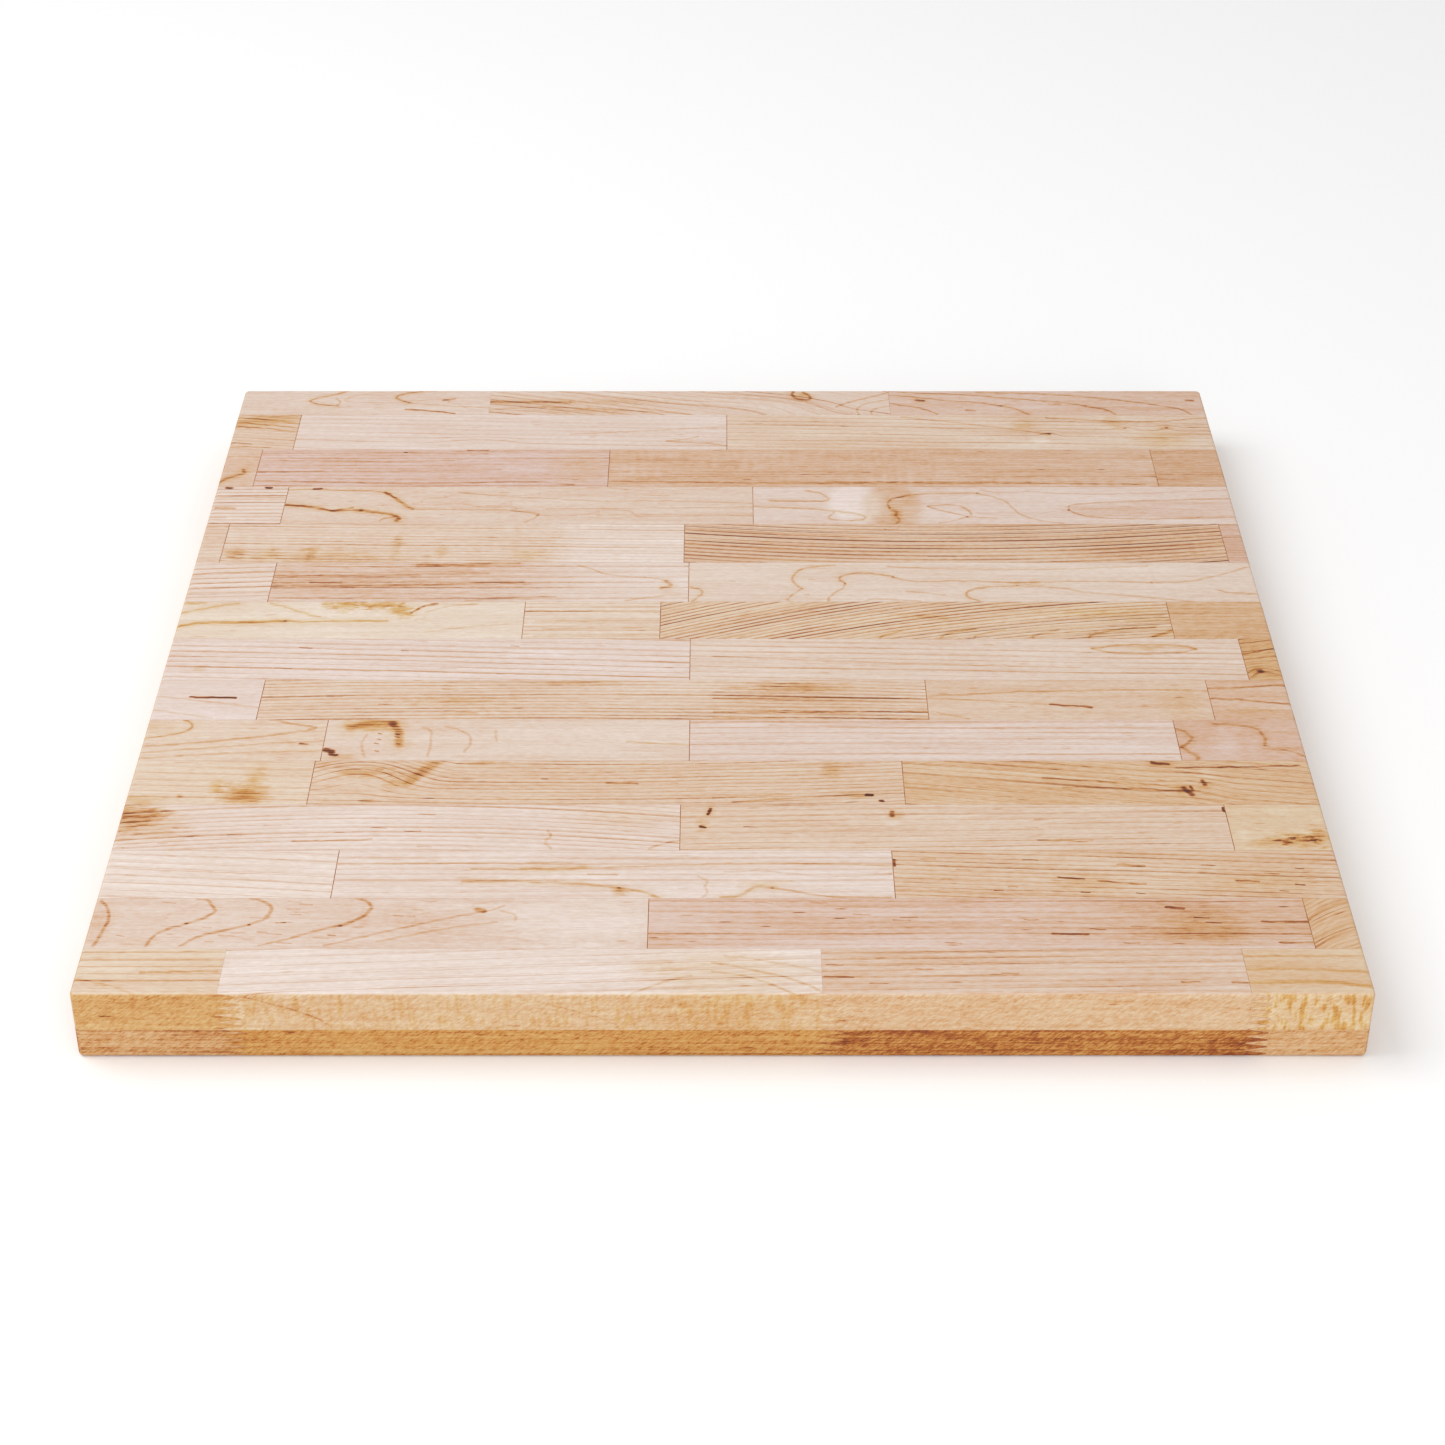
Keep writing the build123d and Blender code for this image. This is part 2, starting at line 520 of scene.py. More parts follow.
# %% Distance to one stretch of a streak
stretch, w, given, result = new_group(
    "Stretch",
    {"Point": "vector", "Peg": "vector", "Run": "vector", "Per Run": "vector"},
    {"Distance": "value"},
)
from_peg = w.vector("SUBTRACT", given["Point"], given["Peg"])
travelled = w.add("ShaderNodeVectorMath", {"operation": "DOT_PRODUCT"})
w.feed(travelled.inputs[0], from_peg)
w.feed(travelled.inputs[1], given["Per Run"])
part = w.add("ShaderNodeClamp", Value=travelled.outputs["Value"]).outputs[0]
nearest = w.vector("MULTIPLY", given["Run"], w.join(part, part, part))
w.feed(result["Distance"], w.vector("LENGTH", w.vector("SUBTRACT", from_peg, nearest)))

# %% Line and halo
STREAK_DEPTH = (-6.0, -2.5)
streak_line, w, given, result = new_group(
    "Streak Line",
    {"Distance": "value", "Width": "value", "Place": "vector", "Tight": "value"},
    {"Line": "value", "Halo": "value"},
)
depth = w.blend(w.split(given["Place"])[2], *STREAK_DEPTH)
fading = w.math("MULTIPLY", depth, given["Tight"])
edge_start = w.math("MULTIPLY", given["Width"], 0.85)
core = w.blend(given["Distance"], edge_start, w.math("MULTIPLY", given["Width"], 0.15))
halo = w.blend(given["Distance"], w.math("MULTIPLY_ADD", given["Width"], 2.0, 1.5), 0.0)
w.feed(result["Line"], w.math("MULTIPLY", core, fading))
w.feed(result["Halo"], w.math("MULTIPLY", halo, fading))

# %% [markdown]
# ## The colour of maple
#
# Whatever darkens maple also warms it: pale wood is cream, more of it is pinkish tan, then honey,
# amber and red-brown. So every effect only adds to one number, the tone, and a colour ramp turns
# that number into wood. A second number leans the colour towards rose or towards straw.


# %% Colour of maple
def srgb(red, green, blue):
    """A colour as a paint chart gives it, 0 to 255, in the linear values that a shader takes."""
    parts = [value / 255 for value in (red, green, blue)]
    linear = [part / 12.92 if part <= 0.04045 else ((part + 0.055) / 1.055) ** 2.4 for part in parts]
    return (*linear, 1.0)


MAPLE_TONES = {
    0.00: srgb(232, 220, 209),
    0.15: srgb(223, 207, 195),
    0.30: srgb(216, 197, 181),
    0.45: srgb(210, 184, 164),
    0.58: srgb(206, 170, 141),
    0.70: srgb(199, 156, 117),
    0.80: srgb(190, 136, 87),
    0.92: srgb(164, 96, 50),
    1.10: srgb(126, 60, 28),
    1.40: srgb(74, 32, 16),
}
TONE_SPAN = max(MAPLE_TONES)
STRAW = (0.95, 0.83, 0.42)
maple_colour, w, given, result = new_group(
    "Maple Colour", {"Tone": "value", "Rose": "value", "Straw": "value"}, {"Colour": "colour"}
)
ramp = w.add("ShaderNodeValToRGB", Fac=w.math("DIVIDE", given["Tone"], TONE_SPAN))
stops = ramp.color_ramp.elements
while len(stops) < len(MAPLE_TONES):
    stops.new(0.5)
for stop, (tone, colour) in zip(stops, MAPLE_TONES.items()):
    stop.position = tone / TONE_SPAN
    stop.color = colour
lean = w.join(
    w.math("MULTIPLY_ADD", given["Rose"], -0.008, 1.0),
    w.math("MULTIPLY_ADD", given["Rose"], -0.012, 1.0),
    w.math("MULTIPLY_ADD", given["Rose"], 0.075, 1.0),
)
rosy = w.vector("MULTIPLY", ramp.outputs["Color"], lean)
w.feed(result["Colour"], w.mix(given["Straw"], rosy, w.vector("MULTIPLY", rosy, STRAW)))
print("maple runs through", len(MAPLE_TONES), "tones")

# %% [markdown]
# ## Top, edges and ends
#
# The worktop is sanded fine and satin, and it is painted paler than its edges: that paleness is
# painted sheen, the white glare the top reflects from the lamps. The edges are left from the saw and
# a coarser belt; they are painted darker and more amber than the top, keep fine slanting scratches,
# and the ring lines stand out less on their fuzzy surface. The face that a point lies on shows in
# its normal, and one group turns that into masks for the edges, the ends and the scratches, the
# strength of the ring lines, a height for the bump and a roughness.

# %% Sawn and sanded faces
SCRATCH_SLANT = radians(36)
LOST_ON_ROUGH = 0.7
finish, w, given, result = new_group(
    "Sawn And Sanded",
    {"Place": "vector", "Fibres": "value", "Line": "value"},
    {
        "Edge": "value",
        "End": "value",
        "Scratches": "value",
        "Ring Strength": "value",
        "Height": "value",
        "Roughness": "value",
    },
)
x, y, z = w.split(w.add("ShaderNodeTexCoord").outputs["Normal"])
top = w.blend(z, 0.45, 0.95)
end = w.blend(w.math("ABSOLUTE", x), 0.45, 0.95)
edge = w.math("SUBTRACT", 1.0, w.math("MAXIMUM", top, end))
rough = w.math("SUBTRACT", 1.0, top)
slant = w.add(
    "ShaderNodeVectorRotate", {"rotation_type": "Y_AXIS"}, Vector=given["Place"], Angle=SCRATCH_SLANT
)
cuts = w.noise(slant.outputs[0], (3.2, 3.2, 0.85), detail=2.0, roughness=0.7)
scratches = w.math("MULTIPLY", w.round_zero(cuts, NOISE_SPREAD), rough)
height = w.math("ADD", w.math("MULTIPLY", given["Fibres"], 0.12), w.math("MULTIPLY", given["Line"], -0.2))
height = w.math("ADD", height, w.math("MULTIPLY", scratches, 0.4))
w.feed(result["Edge"], edge)
w.feed(result["End"], end)
w.feed(result["Scratches"], scratches)
w.feed(result["Ring Strength"], w.math("MULTIPLY_ADD", rough, -LOST_ON_ROUGH, 1.0))
w.feed(result["Height"], height)
shine = w.math("MULTIPLY_ADD", rough, 0.2, 0.46)
w.feed(result["Roughness"], w.math("ADD", shine, w.math("MULTIPLY", given["Fibres"], 0.03)))

# %% [markdown]
# ## How a board was sawn
#
# Five figures cover every board. Each says where the heart of the tree lay, in millimetres across
# from the board's middle and below its top, how it leaned, how wide the rings were and how far they
# wander. Straight boards had the heart far to one side, arched ones had it underneath and leaning,
# and contoured ones came from far out, where the rings lie nearly flat in the board and every swell
# of the tree is drawn on its face like a hill on a map.

# %% The five figures
STRAIGHT = dict(heart=(78, -24), lean=(0.0, 0.0), ring=3.8, width=1.25, wander=0.8, wave=110, line=0.44)
FINE = dict(heart=(90, -30), lean=(0.0, 0.0), ring=2.8, width=1.0, wander=0.6, wave=90, line=0.32)
ARCHED = dict(heart=(6, -42), lean=(0.0, 0.06), ring=4.2, width=1.3, wander=0.6, wave=60, line=0.42)
CONTOURED = dict(heart=(4, -120), lean=(0.0, 0.01), ring=4.0, width=1.3, wander=0.9, wave=60, line=0.20)
SLANTED = dict(heart=(70, -30), lean=(0.16, 0.0), ring=3.8, width=1.2, wander=1.2, wave=100, line=0.44)


# %% Marks that a board can carry
STREAK_BOOST = 0.06
STREAK_WIDENING = 1.1
DASH_RISE = 0.4
DASH_STRENGTH = 0.85


def stain(x, y, long, wide, tone, straw=0.4, turn=0, torn=1.0, rim=0.05):
    """Sap stain: its middle from the slab's left end and the strip's back edge, and its size.

    The stain starts to fade out at rim, a share of the way from its middle to its edge.
    """
    return dict(
        kind="patch", at=(x, y), size=(long, wide), tone=tone, straw=straw, turn=turn, torn=torn, rim=rim
    )


def swell(x, y, long, wide, push, turn=0):
    """A place where the tree bulged, which closes the rings into ovals on a flat-sawn face."""
    return dict(kind="swell", at=(x, y), size=(long, wide), push=push, turn=turn)


def round_off(pegs):
    """The same course with each corner cut a quarter of the way to its neighbours."""
    course = [pegs[0]]
    for before, peg, after in zip(pegs, pegs[1:], pegs[2:]):
        for side in (before, after):
            course.append((peg[0] + (side[0] - peg[0]) / 4, peg[1] + (side[1] - peg[1]) / 4))
    return course + [pegs[-1]]


def streak(*pegs, tone=0.26, straw=0.25, width=1.3, halo=0.0):
    """A bold line over some pegs, given like a stain's middle.

    Fading and tight fibres weaken a thin line, so its tone and width get a little extra.
    """
    course = round_off(pegs)
    stretches = list(zip(course, course[1:]))
    tone += STREAK_BOOST
    width *= STREAK_WIDENING
    return dict(kind="streak", stretches=stretches, tone=tone, straw=straw, width=width, halo=halo)


def dashes(*middles, long=7, tone=0.36, straw=0.0, width=0.8):
    """Short dark flecks, all of one length."""
    stretches = [((x - long / 2, y), (x + long / 2, y + DASH_RISE)) for x, y in middles]
    tone *= DASH_STRENGTH
    return dict(kind="streak", stretches=stretches, tone=tone, straw=straw, width=width, halo=0.0)


def knot(x, y, core, push=5.0):
    """A pin knot: a dark core, the amber stain round it, and the rings pushed aside."""
    return [
        swell(x, y, core * 9, core * 8, push),
        stain(x - core, y, core * 10, core * 7, tone=0.18, straw=0.5, torn=0.8),
        stain(x, y, core * 3.2, core * 2.4, tone=0.75, straw=0.0, torn=0.6),
    ]


# %% A board's whole look
FULL_LINE_STRENGTH = 1.7


def wood(figure, tone, rose=0.0, marks=(), **changes):
    """A board's look: its figure, its tone and rose, its marks, and what differs from the figure.

    Ring lines stand out most on pale wood, so the darker the board, the weaker they are.
    """
    # edge and edge_straw paint the sides darker and more amber than the top; that difference is painted
    # sheen on the top.
    usual = dict(
        curve=0.0, straw=0.0, line_straw=0.0, shade=0.25, fibre=0.15, fleck=0.26, cloud=0.05, curl=0.0,
        edge=0.16, edge_straw=0.35, edge_curl=0.0,
    )
    look = {**usual, **figure, "tone": tone, "rose": rose, "marks": list(marks), **changes}
    look["line"] *= FULL_LINE_STRENGTH - FULL_LINE_STRENGTH * tone
    return look


# %% [markdown]
# ## The boards you see on top
#
# Strip 1 is at the back and strip 15 at the front; letters run from left to right. Tones go from
# cream, 0.2, to amber, 0.7. Towards the left of strips 12 to 15 the top also carries painted sheen:
# the pale tones of 12_a, 13_a and 15_b stand partly for the glare of the light from the left, and
# the pale patch at the right end of 14_a is painted sheen.

# %% Strips 1 to 3
UPPER_BOARDS = {
    "01_a": wood(
        CONTOURED, 0.37, 0.3,
        [
            streak((66, 1.5), (55, 8), (44, 12.5), (42, 15.5), (50, 20), (62, 22), halo=0.06),
            streak((59, 12), (63, 16), (61, 21), tone=0.2),
            streak((113, 2.5), (105, 4), (99, 7), (97, 10), (101, 14), (106, 17.5), halo=0.10),
            streak((106, 17.5), (121, 20), (142, 23), (157, 24), tone=0.14),
            streak((128, 14), (135, 12), tone=0.3, width=1.8),
            streak((105, 27), (111, 26.7), (123, 28.7), (136, 32.3), tone=0.5, width=1.5),
            dashes((25, 1.5), (91, 25), (116, 1.8), long=12, tone=0.3),
        ],
    ),
    "01_b": wood(
        SLANTED, 0.36, 0.2,
        [
            streak((158, 16.2), (186, 16.3), (208, 16.7), tone=0.30, straw=0.3, width=2.2, halo=0.10),
            stain(238, 16, 90, 12, 0.16, 0.25), stain(222, 28, 110, 13, 0.20, 0.2),
            streak((158, 27), (177, 24), (198, 23), (240, 27), (285, 33), tone=0.18),
            swell(330, 20, 60, 20, 6),
            streak(
                (350, 2), (349, 8), (352, 12), (360, 14), (361, 9), (356, 3), tone=0.34, width=1.8,
                halo=0.1,
            ),
            stain(355, 8, 12, 11, 0.16, 0.5, torn=0.3),
            streak((377, 23), (382, 18), (394, 12), (410, 4), tone=0.24),
            streak((399, 34), (398, 30), (401, 25), (410, 22), tone=0.2),
            streak((391, 34), (389, 26), (394, 19), (410, 13), tone=0.16),
        ],
        lean=(-0.20, 0.0), curve=-0.0003, ring=5.0, wander=1.8, line=0.34,
    ),
    "01_c": wood(
        CONTOURED, 0.50, 0.7,
        [
            streak((410, 7), (425, 9), (446, 14.5), (467, 17), (481, 22), tone=0.22),
            streak((481, 22), (491, 26), (498, 34), tone=0.2, width=1.6, halo=0.06),
            streak((410, 2), (425, 4), (456, 6), (479, 10), (498, 13.5), (519, 16.5), (535, 22), tone=0.22),
            streak((535, 22), (548, 27), (552, 34), tone=0.18, width=1.6, halo=0.04),
            streak(
                (467, 3), (508, 5), (540, 10), (560, 14.5), (581, 21), (596, 27), (600, 34), tone=0.24,
                width=1.6,
            ),
            streak((410, 18), (421, 22), (433, 26), (440, 33), tone=0.22),
            streak((428, 14), (432, 15), tone=0.5, straw=0.1, width=2.0, halo=0.12),
            streak((459, 28), (464, 28.5), tone=0.4, straw=0.0, width=1.8),
            stain(517, 19.5, 8, 3, 0.24, 0.3), streak((599, 14), (603, 14.5), tone=0.36, width=1.7),
        ],
    ),
    "02_a": wood(
        SLANTED, 0.40, -0.2,
        [
            stain(14, 8, 80, 22, 0.20, 0.75, turn=-10, torn=0.4),
            streak((0, 4), (20, 7), (40, 12), tone=0.22, straw=0.5), dashes((30, 2), long=16, tone=0.3),
            streak((0, 10), (20, 13), (40, 18), tone=0.20, straw=0.4),
            streak((0, 16), (20, 18), (40, 23), tone=0.24, straw=0.3),
            streak((0, 37), (13, 38.5), tone=0.3), streak((0, 42), (26, 43), tone=0.26),
        ],
        lean=(-0.14, 0.0), ring=3.2, line=0.24,
    ),
    "02_b": wood(
        STRAIGHT, 0.27, 0.5,
        [
            streak((210, 26), (250, 22), (306, 16), tone=0.14),
            streak((270, 35), (280, 33), (290, 29), tone=0.2),
            streak((270, 35), (300, 38), (307, 41), tone=0.2), swell(155, 37, 30, 12, 5),
        ],
        lean=(-0.03, 0.0), ring=5.2, line=0.2, wander=1.2,
    ),
    "02_c": wood(
        STRAIGHT, 0.38, -0.3,
        knot(508, 25.5, 1.0, 3.5) + knot(556, 18, 1.1, 3) + knot(582, 17, 1.0, 3)
        + [
            stain(494, 14, 22, 20, 0.12, 0.5, turn=-30), stain(548, 10, 20, 18, 0.12, 0.45),
            stain(578, 32, 44, 30, 0.10, 0.5, torn=0.4), stain(502, 34, 14, 12, -0.22, 0.0, torn=0.4),
            streak((508, 4), (550, 9), (579, 9), (608, 4), tone=0.28),
            streak((417, 3), (467, 14), (508, 26), tone=0.16),
        ],
        lean=(-0.03, 0.0), ring=4.6, line=0.30, wander=1.2, cloud=0.09,
    ),
    "03_a": wood(
        CONTOURED, 0.52, 0.1,
        [
            streak(
                (0, 41), (5, 36), (9, 33), (14.5, 29.5), (13, 26), tone=0.20, straw=0.5, width=2.0,
                halo=0.12,
            ),
            streak((0, 10), (10, 8), (21, 10), tone=0.12),
        ],
    ),
    "03_b": wood(
        STRAIGHT, 0.47, 1.5,
        [
            streak((22, 5), (100, 4), (160, 5), tone=0.18, straw=0.0),
            dashes((110, 3.5), long=1.5, tone=0.9),
            streak((22, 14), (100, 15), (140, 14), tone=0.18, straw=0.0, width=1.6),
            streak((22, 28), (90, 27), (135, 27), (170, 25), tone=0.16, straw=0.0, width=1.6),
            streak((22, 39.5), (60, 41), (130, 43), (190, 40), (215, 44), tone=0.18, straw=0.0, width=1.6),
            stain(218, 22, 50, 60, 0.02, 0.35, torn=0.3),
            streak((148, 0.6), (160, 1.2), tone=0.3, straw=0.0),
        ],
        ring=4.0, line=0.24, wander=1.2,
    ),
    "03_c": wood(
        FINE, 0.56, 0.2,
        [
            stain(400, 42, 320, 5, 0.14, 0.3),
            streak((236, 40), (330, 42), (440, 41), (560, 44), tone=0.16),
            dashes((405, 40.5), (519, 12), long=12, tone=0.3),
        ],
        curl=0.04, line=0.2,
    ),
    "03_d": wood(FINE, 0.65, 0.3, line=0.16, fleck=0.1),
}

# %% Strips 4 to 6
UPPER_BOARDS |= {
    "04_a": wood(
        STRAIGHT, 0.25, 0.3,
        [
            streak((6.5, 1.4), (8.5, 1.8), tone=0.95, straw=0.0, width=2.4),
            streak((30, 1.2), (32.5, 1.4), tone=0.95, straw=0.0, width=2.2),
            streak((0, 12), (43, 13), tone=0.2, straw=0.0),
            streak((3, 26), (14, 26.5), tone=0.4, width=1.8),
            streak((0, 37), (10, 37.5), tone=0.2, straw=0.0),
        ],
        ring=4.0,
    ),
    "04_b": wood(
        CONTOURED, 0.39, 0.1,
        [
            streak(
                (44, 4), (60, 3), (83, 5), (98, 5.5), (104, 8), (109, 14), tone=0.22, straw=0.5,
                width=1.4,
            ),
            streak((102, 6.5), (109, 14), (114, 21), (120, 27), tone=0.26, straw=0.6, width=2.0, halo=0.08),
            streak(
                (120, 27), (133, 27.5), (167, 28), (181, 29), (192, 31), (196, 33), tone=0.18,
                width=1.2,
            ),
            streak((196, 33), (194, 38), (188, 43), tone=0.14),
            streak((59, 2.6), (63, 2.6), tone=0.6, width=2.0),
            streak(
                (44, 22), (56, 24), (67, 27), (72, 29.5), (79, 29), (90, 28.5), tone=0.36, straw=0.7,
                width=2.0, halo=0.10,
            ),
            streak(
                (90, 28.5), (100, 31.5), (110, 34), (114, 39), (112, 41), tone=0.38, straw=0.7,
                width=2.2, halo=0.12,
            ),
            streak((72, 29), (85, 25.5), tone=0.3, straw=0.6, width=1.6),
            streak((102, 41), (104, 38), (110, 37)),
            streak((146, 7), (177, 12), (210, 15.5), (231, 18), (270, 17), (322, 20), tone=0.18, straw=0.1),
            streak((200, 27), (260, 26), (322, 25), tone=0.14, straw=0.1),
            streak((230, 34), (280, 34), (322, 35), tone=0.12, straw=0.1),
            dashes((265, 10.6), long=15, tone=0.3), dashes((168, 23), (183, 26), long=8, tone=0.26),
        ],
    ),
    "04_c": wood(
        CONTOURED, 0.34, 0.6,
        [
            stain(406, 24, 38, 60, 0.20, 0.22, torn=0.1, rim=0.7),
            stain(408, 34, 10, 26, 0.14, 0.5, torn=0.4),
            stain(384, 20, 34, 56, -0.20, 0.0, torn=0.1, rim=0.7),
            stain(566, 28, 124, 22, 0.14, 0.0, torn=0.06, rim=0.8),
            streak((355, 5), (362, 7), (367, 11), (369, 16.5), (361, 18), (333, 17), tone=0.22, halo=0.05),
            streak(
                (324, 24), (352, 26), (369, 29), (385, 32.5), (390, 36), (388, 40), (381, 41),
                tone=0.24, halo=0.06,
            ),
            streak((381, 41), (370, 40), (367, 37), (371, 31), tone=0.2),
            streak(
                (458, 8), (435, 8), (417, 10), (407, 14), (403.5, 19.5), (404, 26), tone=0.24,
                halo=0.05,
            ),
            streak(
                (404, 26), (409, 32), (407, 35), (410, 39.5), (408, 44), tone=0.14, straw=0.5,
                width=1.5, halo=0.04,
            ),
            streak(
                (458, 8), (467, 12), (474, 17.5), (477, 24), (480, 31), (485, 37), (494, 41.5),
                (506, 44), tone=0.2,
            ),
            streak((427, 24), (435, 22), (446, 23), (452, 29), (453, 34), (450, 36), tone=0.24),
            streak((450, 36), (444, 33), (433, 28), (427, 24), tone=0.24),
            streak((467, 38), (450, 36), (442, 41), (433, 44), tone=0.2),
            streak(
                (460, 4), (467, 7), (494, 5.5), (500, 8), (519, 9), (540, 9), (571, 7), (609, 4),
                tone=0.2, straw=0.0,
            ),
            streak((609, 14.5), (540, 18), (519, 20.5), (511.5, 22.5), (510.5, 28), tone=0.24, straw=0.1),
            streak((510.5, 28), (515, 33), (523, 37), (550, 39.5), (609, 37), tone=0.24, straw=0.1),
        ],
        line=0.08, fleck=0.1,
    ),
    "05_a": wood(STRAIGHT, 0.38, -0.1, line=0.24),
    "05_b": wood(
        STRAIGHT, 0.16, 0.2,
        [
            stain(95, 22, 228, 150, 0.16, 0.10, torn=0.12, rim=0.9), stain(70, 40, 130, 26, 0.10, 0.4),
            stain(22, 35, 14, 18, 0.28, 0.5),
            stain(45, 34, 10, 14, 0.14, 0.4), stain(66, 33, 9, 20, 0.16, 0.4),
            stain(115, 24, 8, 34, 0.14, 0.4),
            stain(142, 33, 10, 20, 0.12, 0.4), stain(192, 36, 26, 18, 0.08, 0.4),
            dashes((20, 38), (45, 38), (66, 38), long=4, tone=0.4),
        ],
        ring=3.2, line=0.26, width=1.1, curl=0.04, lean=(-0.02, 0.0),
    ),
    "05_c": wood(
        STRAIGHT, 0.47, -0.4,
        [
            dashes((413, 20), (541, 8), (404, 6), long=8, tone=0.3),
            dashes((432, 37), (540, 37), long=16, tone=0.26),
            stain(560, 22, 120, 60, 0.08, 0.1, torn=0.3),
        ],
        lean=(-0.133, 0.0), curve=0.00044, ring=4.0, line=0.62, width=1.5, wander=0.3, line_straw=0.1,
    ),
    "05_d": wood(FINE, 0.58, 1.5, line=0.2),
    "06_a": wood(
        STRAIGHT, 0.24, 0.3,
        [
            streak((0, 13), (25, 11), (47, 9.5), tone=0.2, straw=0.0),
            streak((0, 24), (47, 21), tone=0.22, straw=0.0),
            streak((0, 30), (47, 27), tone=0.2, straw=0.0), streak((0, 36), (47, 33), tone=0.2, straw=0.0),
        ],
        lean=(0.05, 0.0), ring=5.0, line=0.30,
    ),
    "06_b": wood(
        STRAIGHT, 0.22, 0.4,
        [
            stain(105, 22, 236, 140, 0.30, -0.10, torn=0.15, rim=0.55),
            streak((48, 15), (110, 14.5), (170, 12), tone=0.14, straw=0.0, width=1.8),
            streak((48, 27), (110, 26), (160, 24), (190, 22), tone=0.18, straw=0.0, width=2.2),
            streak((70, 22.5), (87, 22), tone=0.2, straw=0.1, width=1.8),
            streak((129, 3), (160, 2), (187, 0.5), tone=0.18, straw=0.2, width=2.0, halo=0.08),
            streak((160, 42), (183, 38.5), (210, 38), tone=0.26, straw=0.1, width=1.6),
            streak((221, 3.5), (231, 8), (237, 13), (250, 16), (267, 17.5), (273, 21), tone=0.16),
            streak((273, 21), (276, 26), (270, 28.5), tone=0.30, width=2.2, halo=0.08),
            streak((250, 42), (262, 39), (277, 36), (286, 35), tone=0.16),
            stain(276, 32, 18, 14, 0.08, 0.1),
        ],
        ring=5.6, line=0.24,
    ),
    "06_c": wood(
        CONTOURED, 0.32, 0.1,
        [
            streak((286, 27.5), (292, 29.5), (294, 34), (290, 39), (288, 43), tone=0.22, halo=0.05),
            streak(
                (369, 3.5), (352, 5.5), (347.5, 11), (344, 18), (346, 24), (350, 29), tone=0.22,
                halo=0.05,
            ),
            streak((350, 29), (345, 35), (341, 41), (345, 44), tone=0.2),
            streak((364.5, 44), (366, 37), (374, 28.5), (374.5, 23), tone=0.18),
            streak(
                (374.5, 23), (371, 18), (374, 14), (383, 11.5), (394, 13), (402, 16.5), tone=0.26,
                halo=0.05,
            ),
            streak(
                (402, 16.5), (410, 20.5), (421, 22), (442, 20), (473, 23), (508, 20.5), (550, 22.5),
                tone=0.2,
            ),
            streak((550, 22.5), (569, 22), (581, 18), (592, 13), (609, 4.5), tone=0.2),
            streak(
                (450, 43), (444, 39), (442.5, 35), (446, 30.5), (454, 27.5), (473, 26), tone=0.26,
                halo=0.05,
            ),
            streak((473, 26), (500, 28.5), (508, 33), (529, 36), (550, 39), (573, 44), tone=0.2),
            stain(480, 24, 40, 8, 0.14, 0.3),
            streak((383, 44), (390, 39.5), (400, 41), (417, 43), tone=0.16),
            streak((400, 4.5), (433, 7.5), (500, 8), (529, 5.5), (550, 4), tone=0.16),
            streak((409, 32), (431, 36), tone=0.24, width=1.0),
            streak((586, 30), (592, 34), (609, 35), tone=0.2),
            dashes((310, 21), (353, 35), (356, 19), long=3, tone=0.4),
        ],
        line=0.06, fleck=0.1,
    ),
}

